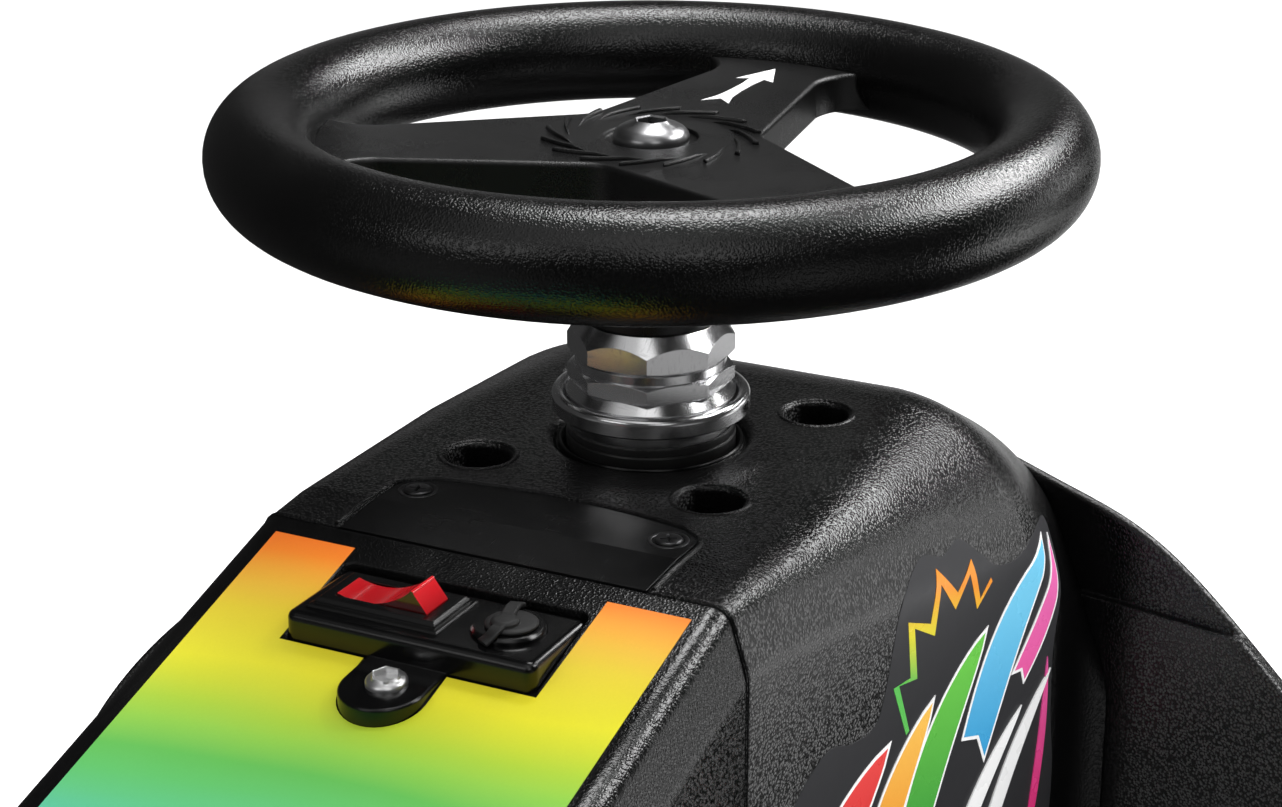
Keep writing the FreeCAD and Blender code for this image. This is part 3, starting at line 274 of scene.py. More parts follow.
def make_painted_side_sheen():
    """Tint lightened on the side faces behind the nose as a painted sheen, more on the crests of the grain
    than between them.
    """
    tree, given, result = new_group(
        "painted_side_sheen",
        [("Place", "Vector", None), ("Tint", "Color", None), ("Crests", "Float", 0.5),
         ("Level", "Float", 0.05)],
        [("Tint", "Color")])
    side = remap(tree, maths(tree, "ABSOLUTE", looking(tree, "Y")), 0.78, 0.98)
    behind = remap(tree, component(tree, given["Place"], "X"), 0.07, 0.056)
    # painted sheen: the side faces are lightened toward grey, more on the grain's crests
    pale = maths(tree, "MULTIPLY", given["Level"], maths(tree, "MULTIPLY_ADD", given["Crests"], 1.65, 0.1))
    sheened_tint = blend_colour(tree, maths(tree, "MULTIPLY", side, behind), given["Tint"], pale)
    tree.links.new(sheened_tint, result["Tint"])
    return tree


def make_fine_skin():
    """Height of a fine uneven skin."""
    tree, given, result = new_group(
        "fine_skin",
        [("Place", "Vector", None), ("Spacing", "Float", 0.3)],
        [("Height", "Float")])
    density = maths(tree, "DIVIDE", 1.0 / MM, given["Spacing"])
    tree.links.new(noise(tree, given["Place"], density, 2.0), result["Height"])
    return tree


def make_print_waver():
    """How far a print's colours wander from their places, and the mask of its ink's dark speckle."""
    tree, given, result = new_group(
        "print_waver",
        [("Place", "Vector", None), ("Wander", "Float", 12.0), ("Amount", "Float", 0.06)],
        [("Shift", "Float"), ("Speckle", "Float")])
    drift = maths(tree, "SUBTRACT", noise(tree, given["Place"], 14.0, 1.0), 0.5)
    shift = maths(tree, "MULTIPLY", drift, maths(tree, "MULTIPLY", given["Wander"], MM))
    tree.links.new(shift, result["Shift"])
    speckle = maths(tree, "MULTIPLY", noise(tree, given["Place"], 1800.0, 2.0), given["Amount"])
    tree.links.new(speckle, result["Speckle"])
    return tree


GRAIN = make_moulded_grain()
CHANGE = make_slow_change()
EDGES = make_rubbed_edges()
SCRATCHES = make_fine_scratches()
DUST = make_settled_dust()
PAINTED_SHEEN_GROUP = make_painted_side_sheen()
SKIN = make_fine_skin()
WAVER = make_print_waver()


# ================================================================ finishes
PALE_DUST = (0.22, 0.21, 0.2, 1)
GREY_DUST = (0.2, 0.19, 0.18, 1)
ALLOY_DUST = (0.3, 0.29, 0.27, 1)
BARE_EDGE = (0.16, 0.16, 0.16, 1)


def opaque(colour, share=1.0):
    """Colour scaled by a share, with its alpha."""
    return tuple(share * c for c in colour) + (1,)


def grey(level):
    return (level, level, level, 1)


def linear(colour, share=1.0):
    """An 8-bit colour as linear light, scaled by a share."""
    def channel(c):
        return c / 255 / 12.92 if c <= 10 else ((c / 255 + 0.055) / 1.055) ** 2.4

    return tuple(share * channel(c) for c in colour)


class Finish:
    """A new material: its Principled shader, object coordinates in metres, and the shared effects."""

    def __init__(self, name, **plain):
        self.material = bpy.data.materials.new(name)
        self.material.use_nodes = True
        self.tree = self.material.node_tree
        self.shader = self.tree.nodes["Principled BSDF"]
        self.spot = add(self.tree, "TexCoord").outputs["Object"]
        for label, value in plain.items():
            self.shader.inputs[label.replace("_", " ")].default_value = value

    def feed(self, label, socket):
        self.tree.links.new(socket, self.shader.inputs[label])

    def worn(self, radius, amount):
        """Mask and normal of rubbed edges, for an edge radius in millimetres."""
        return place(self.tree, EDGES, Place=self.spot, Radius=radius, Amount=amount)

    def grain(self, cell, wrinkles):
        """Height and crests of a moulded grain, for a cell size in millimetres."""
        return place(self.tree, GRAIN, Place=self.spot, Cell_Size=cell, Wrinkles=wrinkles)

    def hairlines(self, spacing):
        """Height and mask of fine scratches, for a spacing in millimetres."""
        return place(self.tree, SCRATCHES, Place=self.spot, Spacing=spacing)

    def change(self, patch, least, most):
        """Slow change between two values, in patches of a size in millimetres."""
        return place(self.tree, CHANGE, Place=self.spot, Patch_Size=patch, From=least, To=most)["Value"]

    def dust(self, amount):
        """Mask of dust settled on the upper faces."""
        return place(self.tree, DUST, Place=self.spot, Amount=amount)["Mask"]

    def roughen(self, level, mask=None, share=0.0):
        """Roughness at a level, raised by a share of a mask."""
        if mask is not None:
            level = maths(self.tree, "ADD", level, maths(self.tree, "MULTIPLY", mask, share))
        self.feed("Roughness", level)

    def bump(self, height, strength, depth, normal):
        """Relief of a depth in millimetres, over a normal."""
        made = add(self.tree, "Bump", {"Strength": strength, "Distance": depth * MM, "Height": height,
                                       "Normal": normal})
        self.feed("Normal", made.outputs[0])


def grained_plastic(name, colour, cell, depth, rough, wrinkles, edge, dust=0.012, painted_sheen=0.0, painted_rear_sheen=0.0,
                    calm=1.0):
    """Black moulded plastic with a pebbled grain, polished on its crests.

    The painted sheen lightens its side faces and the painted rear sheen the outer part of its rear face,
    both painted highlights; calm is the share of the grain that is left on its upper faces.
    """
    finish = Finish(name, IOR=1.5, Specular_IOR_Level=0.5)
    tree, spot = finish.tree, finish.spot
    grain = finish.grain(cell, wrinkles)
    worn = finish.worn(edge, 0.8)
    dusty = finish.dust(dust)
    tint = blend_colour(tree, grain["Crests"], opaque(colour, 0.6), opaque(colour))
    # painted sheen: the side faces are lightened, standing in for the light they reflect
    if painted_sheen:
        tint = place(tree, PAINTED_SHEEN_GROUP, Place=spot, Tint=tint, Crests=grain["Crests"], Level=painted_sheen)["Tint"]
    # painted highlight: the outer part of the rear face is lightened toward grey, most on the grain's crests
    if painted_rear_sheen:
        rear = remap(tree, maths(tree, "MULTIPLY", looking(tree, "X"), -1.0), 0.8, 0.97)
        outer = remap(tree, maths(tree, "ABSOLUTE", component(tree, spot, "Y")), 0.088, 0.1)
        pale = blend_colour(tree, grain["Crests"], grey(0.3 * painted_rear_sheen), grey(1.5 * painted_rear_sheen))
        tint = blend_colour(tree, maths(tree, "MULTIPLY", rear, outer), tint, pale)
    tint = blend_colour(tree, worn["Mask"], tint, opaque(colour, 2.2))
    finish.feed("Base Color", blend_colour(tree, dusty, tint, PALE_DUST))
    polish = maths(tree, "MULTIPLY", grain["Crests"], 0.03)
    level = maths(tree, "SUBTRACT", finish.change(22.0, rough - 0.02, rough + 0.03), polish)
    finish.roughen(level, dusty, 0.4)
    height = grain["Height"]
    if calm < 1.0:
        height = maths(tree, "MULTIPLY", height, remap(tree, looking(tree, "Z"), 0.85, 0.95, 1.0, calm))
    finish.bump(height, 1.0, depth, worn["Normal"])
    return finish.material


def satin_plastic(name, colour, rough, depth=0.01, edge=0.3, dust=0.01):
    """Smooth black plastic with a faintly uneven skin, hairlines and rounded edges."""
    finish = Finish(name, IOR=1.5)
    tree = finish.tree
    worn = finish.worn(edge, 0.5)
    skin_height = place(tree, SKIN, Place=finish.spot, Spacing=0.3125)["Height"]
    tint = blend_colour(tree, worn["Mask"], opaque(colour), opaque(colour, 3))
    finish.feed("Base Color", blend_colour(tree, finish.dust(dust), tint, PALE_DUST))
    finish.roughen(finish.change(14.0, rough - 0.02, rough + 0.03), finish.hairlines(0.5)["Mask"], 0.02)
    finish.bump(skin_height, 0.5, depth, worn["Normal"])
    return finish.material


def bright_metal(name, colour, rough, spacing=0.3, change=0.03, edge=0.25):
    """Plated or polished metal with faint hairlines and softened edges."""
    finish = Finish(name, Metallic=1.0)
    marks = finish.hairlines(spacing)
    tint = blend_colour(finish.tree, marks["Mask"], opaque(colour), opaque(colour, 0.93))
    finish.feed("Base Color", tint)
    finish.roughen(finish.change(9.0, rough, rough + change), marks["Mask"], 0.06)
    finish.bump(marks["Height"], 0.1, 0.002, finish.worn(edge, 0.3)["Normal"])
    return finish.material


def painted_metal(name, colour, rough):
    """Powder coat with its orange-peel skin, rubbed through a little on the edges."""
    finish = Finish(name, IOR=1.5)
    tree = finish.tree
    worn = finish.worn(0.5, 0.45)
    tint = blend_colour(tree, worn["Mask"], opaque(colour), BARE_EDGE)
    finish.feed("Base Color", blend_colour(tree, finish.dust(0.12), tint, GREY_DUST))
    finish.roughen(finish.change(18.0, rough - 0.05, rough + 0.08))
    finish.bump(noise(tree, finish.spot, 700.0, 2.0, 0.4), 0.6, 0.03, worn["Normal"])
    return finish.material


def cast_alloy(name, colour):
    """Cast aluminium of the hub, turned in fine rings round the axle."""
    finish = Finish(name, Metallic=1.0)
    tree, spot = finish.tree, finish.spot
    from_axle = add(tree, "VectorMath", {0: spot, 1: AXLE * MM}, operation="SUBTRACT").outputs[0]
    flat = stretched(tree, from_axle, (1, 0, 1))
    radius = add(tree, "VectorMath", {0: flat}, operation="LENGTH").outputs["Value"]
    ring_pitch = 0.55 * MM
    rings = maths(tree, "SINE", maths(tree, "MULTIPLY", radius, 2 * math.pi / ring_pitch))
    finish.feed("Base Color", blend_colour(tree, finish.dust(0.2), opaque(colour), ALLOY_DUST))
    finish.roughen(finish.change(12.0, 0.3, 0.46))
    height = maths(tree, "ADD", rings, maths(tree, "MULTIPLY", noise(tree, spot, 1500.0), 1.5))
    finish.bump(height, 0.35, 0.01, finish.worn(0.6, 0.5)["Normal"])
    return finish.material


def rubber(name, colour, rough, cell=0.35, depth=0.03, dust=0.12):
    """Matt rubber with a very fine skin, dusty on top."""
    finish = Finish(name, IOR=1.5)
    tree = finish.tree
    worn = finish.worn(0.4, 0.4)
    tint = blend_colour(tree, worn["Mask"], opaque(colour), opaque(colour, 2.5))
    finish.feed("Base Color", blend_colour(tree, finish.dust(dust), tint, GREY_DUST))
    finish.roughen(finish.change(10.0, rough - 0.06, rough + 0.08))
    finish.bump(finish.grain(cell, 0.7)["Height"], 0.6, depth, worn["Normal"])
    return finish.material


def red_rocker_plastic(name):
    """Red rocker: a gloss skin over a red with painted shade, deeper downward and near black on the rear
    face.
    """
    finish = Finish(name, IOR=1.49, Coat_Weight=0.6, Coat_Roughness=0.05, Subsurface_Weight=0.25,
                    Subsurface_Scale=0.003, Subsurface_Radius=(1.0, 0.1, 0.08))
    tree = finish.tree
    worn = finish.worn(0.3, 0.4)
    # painted shade: the red deepens toward the rocker's foot
    upper = remap(tree, component(tree, finish.spot, "Z"), (TOP - 6.0) * MM, (TOP + 1.0) * MM)
    tint = blend_colour(tree, upper, (0.3, 0.003, 0.006, 1), (0.72, 0.012, 0.02, 1))
    tint = blend_colour(tree, worn["Mask"], tint, (0.8, 0.08, 0.08, 1))
    # painted shade: faces that look back along -X are painted near black
    rear = remap(tree, maths(tree, "MULTIPLY", looking(tree, "X"), -1.0), 0.75, 0.95)
    finish.feed("Base Color", blend_colour(tree, rear, tint, (0.035, 0.003, 0.003, 1)))
    finish.roughen(finish.change(6.0, 0.12, 0.2))
    finish.feed("Normal", worn["Normal"])
    return finish.material


def printed_ink(name, stops, direction=(0.3, 0, 1), rough=0.28, share=0.8):
    """Printed film or ink under a clear skin. Each colour stands at its place in millimetres, taken along
    a direction from the origin, and share scales them all."""
    finish = Finish(name, IOR=1.4, Specular_IOR_Level=0.3)
    tree, spot = finish.tree, finish.spot
    stops = sorted(stops)
    start, end = stops[0][0], stops[-1][0]
    along = add(tree, "VectorMath", {0: spot, 1: direction}, operation="DOT_PRODUCT").outputs["Value"]
    waver = place(tree, WAVER, Place=spot, Wander=12.0, Amount=0.06)
    reach = add(tree, "MapRange", {"Value": maths(tree, "ADD", along, waver["Shift"]), "From Min": start * MM,
                                   "From Max": end * MM}).outputs["Result"]
    ramp = add(tree, "ValToRGB", {"Fac": reach})
    elements = ramp.color_ramp.elements
    while len(elements) < len(stops):
        elements.new(0.5)
    for element, (at, colour) in zip(elements, stops):
        element.position = (at - start) / (end - start)
        element.color = opaque(linear(colour, share))
    finish.feed("Base Color", blend_colour(tree, waver["Speckle"], ramp.outputs["Color"], grey(0.0)))
    finish.roughen(finish.change(16.0, rough - 0.04, rough + 0.05))
    return finish.material


BLACK = (0.002, 0.002, 0.0021)
DEEP_BLACK = (0.0015, 0.0015, 0.0016)
LEATHER = dict(colour=BLACK, cell=0.74, depth=0.105, rough=0.23, wrinkles=0.3, edge=0.9)
# In the grained finishes below, the side-face value is a painted sheen and the shield's rear value a painted
# highlight.
FINISHES = {
    "leather_black": (grained_plastic, dict(LEATHER, painted_sheen=0.05)),
    "shield_black": (grained_plastic, dict(LEATHER, painted_sheen=0.008, painted_rear_sheen=0.026)),
    "hood_black": (grained_plastic, dict(LEATHER, cell=0.66, depth=0.09, rough=0.2, painted_sheen=0.016, calm=0.42)),
    "cover_black": (satin_plastic, dict(colour=DEEP_BLACK, rough=0.24)),
    "grip_black": (grained_plastic, dict(colour=(0.0012, 0.0012, 0.0012), cell=0.55, depth=0.07, rough=0.23,
                                         wrinkles=0.35, edge=0.4, dust=0.006)),
    "spider_black": (grained_plastic, dict(colour=(0.003, 0.003, 0.0031), cell=0.34, depth=0.05, rough=0.3,
                                           wrinkles=0.7, edge=0.8, dust=0.006)),
    "box_black": (satin_plastic, dict(colour=DEEP_BLACK, rough=0.16, depth=0.003, edge=0.5)),
    "rocker_red": (red_rocker_plastic, {}),
    "cap_rubber": (rubber, dict(colour=(0.006, 0.006, 0.006), rough=0.55)),
    "seal_rubber": (rubber, dict(colour=(0.004, 0.004, 0.004), rough=0.4, dust=0.03)),
    "tyre_rubber": (rubber, dict(colour=(0.012, 0.012, 0.012), rough=0.6, cell=0.6, depth=0.06, dust=0.25)),
    "chrome": (bright_metal, dict(colour=(0.82, 0.82, 0.83), rough=0.18, spacing=0.5, change=0.02)),
    "bright_zinc": (bright_metal, dict(colour=(0.85, 0.85, 0.85), rough=0.3, change=0.08)),
    "bare_steel": (bright_metal, dict(colour=(0.46, 0.46, 0.47), rough=0.28, spacing=0.25, change=0.08)),
    "bolt_black": (bright_metal, dict(colour=(0.27, 0.27, 0.275), rough=0.27, spacing=0.4)),
    "screw_black": (bright_metal, dict(colour=(0.09, 0.09, 0.092), rough=0.3, change=0.06)),
    "frame_paint": (painted_metal, dict(colour=(0.006, 0.006, 0.0062), rough=0.36)),
    "hub_alloy": (cast_alloy, dict(colour=(0.42, 0.43, 0.44))),
}
MATERIALS = {name: make(name, **values) for name, (make, values) in FINISHES.items()}
CAD_FINISHES = {
    "leather_black": ["cowl"],
    "shield_black": ["front_shield"],
    "hood_black": ["rear_hood"],
    "cover_black": ["cover_plate"],
    "grip_black": ["grip_ring"],
    "spider_black": ["wheel_spider"],
    "box_black": ["switch_box", "rocker_bezel", "charge_port"],
    "rocker_red": ["rocker"],
    "cap_rubber": ["port_cap"],
    "seal_rubber": ["column_seal"],
    "tyre_rubber": ["tyre"],
    "chrome": ["upper_cup", "adjusting_nut", "lock_washer", "lock_nut"],
    "bright_zinc": ["tab_screw", "axle_nut_left", "axle_nut_right"],
    "bare_steel": ["steerer", "axle", "lower_cup", "crown_race"],
    "bolt_black": ["hub_bolt"],
    "frame_paint": ["head_tube", "cowl_plate", "mount_flange", "fork_crown", "fork_leg_left",
                    "fork_leg_right"],
    "hub_alloy": ["hub_motor"],
}

# Colours down the hood's film, each at its x on the straight slope.
HOOD_COLOURS = [
    (-80, (240, 116, 30)), (-86, (244, 134, 36)), (-91, (240, 162, 50)), (-98, (234, 188, 56)),
    (-104, (230, 206, 50)), (-112, (230, 218, 48)), (-118, (230, 224, 46)), (-124, (206, 214, 50)),
    (-131, (170, 204, 58)), (-137, (142, 198, 70)), (-145, (94, 180, 80)), (-152, (90, 182, 98)),
    (-158, (88, 182, 118)), (-172, (80, 178, 166)), (-190, (76, 158, 198)), (-215, (92, 122, 200)),
    (-250, (126, 96, 184)),
]
HOOD_FADE = (0.8235, 0.05, 0.6)                 # direction of the fade
HOOD_FADE_START = 88.47 + 0.6 * (TOP - 126.0)   # how far along it the slope's x of zero lies
# Colours up the side film and its marks, each at its height from the cowl's flat top.
MARK_COLOURS = {
    "burst_ink": [(-50, (96, 190, 90)), (-38, (225, 215, 60)), (-26, (242, 150, 50))],
    "sky_ink": [(-70, (60, 160, 215)), (-30, (120, 205, 240))],
    "rose_ink": [(-100, (236, 40, 120)), (-30, (236, 110, 180))],
    "leaf_ink": [(-84, (70, 160, 66)), (-45, (110, 200, 80))],
    "amber_ink": [(-90, (236, 150, 50)), (-56, (250, 196, 90))],
    "red_ink": [(-100, (200, 36, 44)), (-56, (240, 84, 80))],
    "white_ink": [(-110, (244, 244, 244)), (-60, (252, 252, 252))],
}
SIDE_FILM_COLOURS = [(-130, (38, 38, 40)), (-20, (52, 52, 54))]


def make_inks():
    def moved(stops, by):
        return [(at + by, colour) for at, colour in stops]

    MATERIALS["hood_film"] = printed_ink("hood_film", moved(HOOD_COLOURS, HOOD_FADE_START), HOOD_FADE,
                                         rough=0.36, share=0.84)
    MATERIALS["side_film"] = printed_ink("side_film", moved(SIDE_FILM_COLOURS, TOP), rough=0.34, share=1.0)
    for name, stops in MARK_COLOURS.items():
        MATERIALS[name] = printed_ink(name, moved(stops, TOP))


def finish_cad_nodes():
    for finish, names in CAD_FINISHES.items():
        for name in names:
            NODES[name].data.materials.clear()
            NODES[name].data.materials.append(MATERIALS[finish])


# ================================================================ shapes of the added pieces
def piece(name, shape, material, body, smooth_angle=35.0):
    """Object from a bmesh made in millimetres of the row frame: faces turned outward, smooth-shaded,
    riding on a body."""
    bmesh.ops.recalc_face_normals(shape, faces=shape.faces)
    mesh = bpy.data.meshes.new(name)
    shape.to_mesh(mesh)
    shape.free()
    mesh.transform(Matrix.Scale(MM, 4))
    mesh.materials.append(MATERIALS[material])
    made = bpy.data.objects.new(name, mesh)
    bpy.context.scene.collection.objects.link(made)
    mesh.shade_smooth()
    mesh.set_sharp_from_angle(angle=math.radians(smooth_angle))
    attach(made, body)
    return made


def arc(cx, cy, radius, start, end, steps):
    """Points on an arc, its angles in degrees."""
    angles = [math.radians(start + (end - start) * i / steps) for i in range(steps + 1)]
    return [(cx + radius * math.cos(a), cy + radius * math.sin(a)) for a in angles]


def circle(radius, steps):
    """Points evenly round a circle at the origin."""
    return [(radius * math.cos(2 * math.pi * i / steps), radius * math.sin(2 * math.pi * i / steps))
            for i in range(steps)]


def ring(shape, points, height, place_at=Matrix.Identity(4)):
    """Vertices at (x, y) points, all at one height."""
    return [shape.verts.new(place_at @ Vector((x, y, height))) for x, y in points]


def skin(shape, rings, ends="open"):
    """Faces from each ring to the next, where a ring of one vertex is a pole. The two end rings stay
    open, are capped, or are joined to each other."""
    pairs = list(zip(rings, rings[1:]))
    if ends == "joined":
        pairs.append((rings[-1], rings[0]))
    for first, second in pairs:
        count = max(len(first), len(second))
        for i in range(count):
            j = (i + 1) % count
            corners = [first[i % len(first)], first[j % len(first)], second[j % len(second)],
                       second[i % len(second)]]
            shape.faces.new(list(dict.fromkeys(corners)))
    if ends == "capped":
        shape.faces.new(rings[0][::-1])
        shape.faces.new(rings[-1])


def turned(shape, profile, steps, place_at=Matrix.Identity(4), ends="open"):
    """Profile of (radius, height) pairs turned about Z; a radius of zero makes a pole."""
    skin(shape, [ring(shape, circle(radius, steps) if radius else [(0, 0)], height, place_at)
                 for radius, height in profile], ends)


def sheet(outline, spacing):
    """Flat sheet inside an outline of (u, v) pairs, split into cells so that it can be draped."""
    shape = bmesh.new()
    verts = [shape.verts.new((u, v, 0)) for u, v in outline]
    edges = [shape.edges.new((verts[i - 1], verts[i])) for i in range(len(verts))]
    bmesh.ops.triangle_fill(shape, edges=edges, use_beauty=True)
    for axis, normal in enumerate(((1, 0, 0), (0, 1, 0))):
        least = min(p[axis] for p in outline)
        most = max(p[axis] for p in outline)
        count = int((most - least) / spacing)
        for i in range(1, count + 1):
            at = least + i * (most - least) / (count + 1)
            everything = shape.verts[:] + shape.edges[:] + shape.faces[:]
            bmesh.ops.bisect_plane(shape, geom=everything, plane_co=[at * n for n in normal],
                                   plane_no=normal, dist=1e-6)
    return shape


def draped(shape, where, thick):
    """Sheet laid on a surface: where(u, v) gives the foot and the outward normal. Closed all round."""
    outside = {}
    for vert in list(shape.verts):
        foot, normal = map(Vector, where(vert.co.x, vert.co.y))
        outside[vert] = shape.verts.new(foot + normal * thick)
        vert.co = foot
    border = [e for e in shape.edges if len(e.link_faces) == 1]
    for face in list(shape.faces):
        shape.faces.new([outside[v] for v in face.verts])
    for edge in border:
        a, b = edge.verts
        shape.faces.new([a, b, outside[b], outside[a]])
    return shape


# ---------------------------------------------------------------- moulded lips and collar
BEAD_FOOT = 0.12          # how deep a bead is sunk into its surface


def bead(shape, spots, half, rise, closed=False):
    """Low rounded bead along (point, normal) pairs, its foot sunk a little into the surface."""
    section = arc(0, 0, 1, 0, 180, 9)
    rows = []
    count = len(spots)
    for i, (point, normal) in enumerate(spots):
        before = spots[(i - 1) % count if closed else max(0, i - 1)][0]
        after = spots[(i + 1) % count if closed else min(count - 1, i + 1)][0]
        way = (Vector(after) - Vector(before)).normalized()
        across = way.cross(Vector(normal)).normalized()
        foot = Vector(point) - Vector(normal) * BEAD_FOOT
        rows.append([shape.verts.new(foot + across * half * c + Vector(normal) * (rise + BEAD_FOOT) * s)
                     for c, s in section])
    skin(shape, rows, "joined" if closed else "capped")


def cover_lip_path():
    """Places (x, y) along the cover's recess: up one side, round the bowed front and down the other."""
    half, front, rear, bow, corner = 37.0, -44.3, -76.0, 4.7, 6.0
    side_gap, front_gap, corner_gap = 1.35, 1.3, 1.2
    bend_x = front - bow - corner
    reach = half - corner
    side = [(rear, -(half + side_gap)), (bend_x, -(half + side_gap))]
    side += [(bend_x + (corner + corner_gap) * math.sin(t),
              -half + corner - (corner + side_gap) * math.cos(t)) for t in (0.35, 0.75, 1.15)]
    across = [-reach + reach * i / 12 for i in range(25)]
    path = side + [(front + front_gap - bow * (y / half) ** 2, y) for y in across]
    path += [(x, -y) for x, y in side[::-1]]
    places = []
    for a, b in zip(path, path[1:]):
        steps = max(1, int((Vector(b) - Vector(a)).length / 2.5))
        places += [tuple(Vector(a).lerp(Vector(b), i / steps)) for i in range(steps)]
    return places + [path[-1]]


def section_finder(x):
    """Function from an angle (degrees from straight up) to the tower's skin at one x, with its normal."""
    tree = BVHTree.FromObject(NODES["cowl"], bpy.context.evaluated_depsgraph_get())
    heart = Vector((x, 0, TOP - 60))
    outside = 160             # further from the heart than any part of the skin

    def find(angle):
        a = math.radians(angle)
        way = Vector((0, math.sin(a), math.cos(a)))
        spot, normal, _, _ = tree.ray_cast((heart + way * outside) * MM, -way)
        if spot is None:
            return None
        flat = Vector((0, normal.y, normal.z)).normalized()
        return spot / MM, flat if flat.dot(way) > 0 else -flat

    return find


def moulded_lips():
    """Raised lips on the tower: round the wells, along the cover's recess, and along the rear seam."""
    shape = bmesh.new()
    for x, y in WELLS:
        round_well = [((x + u, y + v, TOP - 0.12), (0, 0, 1)) for u, v in circle(8.85, 64)]
        bead(shape, round_well, 0.8, 0.34, closed=True)
    level_end = -62           # behind this x the flat top bends down
    spots = []
    for x, y in cover_lip_path():
        drop = 0.0 if x > level_end else 1.2 * ((level_end - x) / 15) ** 2
        spots.append(((x, y, TOP - drop), (0, 0, 1)))
    bead(shape, spots, 0.7, 0.42)
    find = section_finder(-76.3)
    for start, end in ((-78, -36), (36, 78)):
        spots = [find(start + (end - start) * i / 40) for i in range(41)]
        bead(shape, [pair for pair in spots if pair], 0.55, 0.34)
    piece("moulded_lips", shape, "leather_black", "front_cowl", 50)


def collar_ring():
    """Smooth ring lying on the collar round the column hole."""
    shape = bmesh.new()
    turned(shape, arc(21.25, TOP - 0.95, 0.5, 0, 360, 16)[:-1], 96, ends="joined")
    piece("collar_ring", shape, "box_black", "front_cowl", 50)


# ---------------------------------------------------------------- coloured film on the rear hood
def hood_spot(along, y):
    """Point and normal on the hood at a distance down its slope from the seam."""
    run = HOOD_STRAIGHT / math.cos(HOOD_ANGLE)
    slope = Vector((-math.cos(HOOD_ANGLE), 0, -math.sin(HOOD_ANGLE)))
    normal = Vector((-math.sin(HOOD_ANGLE), 0, math.cos(HOOD_ANGLE)))
    start = Vector((HOOD_START_X, y, TOP - HOOD_START_DROP))
    if along <= run:
        return start + slope * along, normal
    bend = math.pi / 2 - HOOD_ANGLE
    centre = start + slope * run - normal * HOOD_END_R
    turn = min((along - run) / HOOD_END_R, bend)
    normal = Matrix.Rotation(-turn, 3, "Y") @ normal
    down = max(0.0, along - run - HOOD_END_R * bend)
    return centre + normal * HOOD_END_R - Vector((0, 0, down)), normal


def down_slope(x):
    """Distance down the hood's slope to an x."""
    return (HOOD_START_X - x) / math.cos(HOOD_ANGLE)


def hood_film():
    """Film over the hood, open at the top where the switch box stands and cut round its tab."""
    half, end, corner, tab_r = 50.0, 181.0, 4.0, 9.8
    upper, box_end = down_slope(-82.3), down_slope(-111.9)
    outline = [(upper, -half), (upper, -30.9), (box_end, -30.2), (box_end, -tab_r)]
    outline += arc(down_slope(TAB_X), 0, tab_r, -90, 90, 20)
    outline += [(box_end, tab_r), (box_end, 30.2), (upper, 29.9), (upper, half)]
    outline += arc(end - corner, half - corner, corner, 90, 0, 6)
    outline += arc(end - corner, corner - half, corner, 0, -90, 6)
    piece("hood_film", draped(sheet(outline, 4.0), hood_spot, 0.14), "hood_film", "front_cowl")


# ---------------------------------------------------------------- film and marks on the side walls
FILM_THICK = 0.12
LAYER_RISE = 0.09         # each layer of ink stands this much above the one under it
MARK_FOOT = 0.1           # the marks start this far above the wall, inside the film


def wall_finder(side, lift=0.0):
    """Function from x and a height from the cowl's top to the side wall (+1 left, -1 right), lifted off
    it, with the outward normal."""
    tree = BVHTree.FromObject(NODES["cowl"], bpy.context.evaluated_depsgraph_get())

    def find(x, height):
        z = height + TOP
        spot, normal, _, _ = tree.ray_cast(Vector((x * MM, side * 0.3, z * MM)), Vector((0, -side, 0)))
        if spot is None:
            spot, normal, _, _ = tree.find_nearest(Vector((x * MM, side * 0.075, z * MM)))
        if normal.y * side < 0:
            normal = -normal
        return spot / MM + normal * lift, normal

    return find


# Edge of the side film, as x and height from the cowl's flat top.
FILM_EDGE = [
    (-2, -17.5), (8, -20.6), (16, -19.4), (23, -24.6), (31, -31.0), (41, -33.4), (52, -31.8),
    (70.0, -33.6), (72.3, -42), (66.5, -56), (64.2, -68), (64.8, -84), (67.5, -101), (66, -118),
    (57, -130), (38, -134), (14, -131), (-14, -127), (-40, -118), (-58, -104), (-66, -86),
    (-65, -68), (-57.6, -54.6), (-44.6, -47.4), (-33.8, -50.0), (-24.4, -50.2), (-20.2, -44.5),
    (-16.6, -33), (-13.2, -24),
]


def curve_through(points, steps=6):
    """Closed smooth outline through points."""
    count = len(points)
    out = []
    for i in range(count):
        a, b, c, d = (Vector(points[(i + k) % count]) for k in (-1, 0, 1, 2))
        for j in range(steps):
            t = j / steps
            p = 0.5 * (2 * b + (c - a) * t + (2 * a - 5 * b + 4 * c - d) * t * t
                       + (3 * b - a - 3 * c + d) * t ** 3)
            out.append((p.x, p.y))
    return out


def grown(outline, by):
    """Outline moved outward by a distance, its corners mitred."""
    area = sum(a[0] * b[1] - b[0] * a[1] for a, b in zip(outline, outline[1:] + outline[:1]))
    turn = 1 if area > 0 else -1
    out = []
    for i in range(len(outline)):
        a, b, c = (Vector(outline[(i + k) % len(outline)]) for k in (-1, 0, 1))
        n1 = Vector(((b - a).y, -(b - a).x)).normalized() * turn
        n2 = Vector(((c - b).y, -(c - b).x)).normalized() * turn
        mitre = n1 + n2
        if mitre.length < 0.35:
            mitre = n1
        mitre.normalize()
        reach = by / max(0.45, mitre.dot(n1))
        out.append(tuple(b + mitre * reach))
    return out


def fin(root, tip, width, bow, notch=3.0):
    """Curved flash from a notched root to a pointed tip, bowed to one side."""
    root, tip = Vector(root), Vector(tip)
    way = tip - root
    side = Vector((-way.y, way.x)).normalized()
    left, right = [], []
    for i in range(14):
        t = i / 14
        spine = root + way * t + side * bow * math.sin(math.pi * t)
        half = width * (0.62 + 0.9 * t) * (1 - t) ** 0.8 * 1.25
        left.append(tuple(spine + side * half))
        right.append(tuple(spine - side * half))
    return [tuple(root + way.normalized() * notch)] + left + [tuple(tip)] + right[::-1]


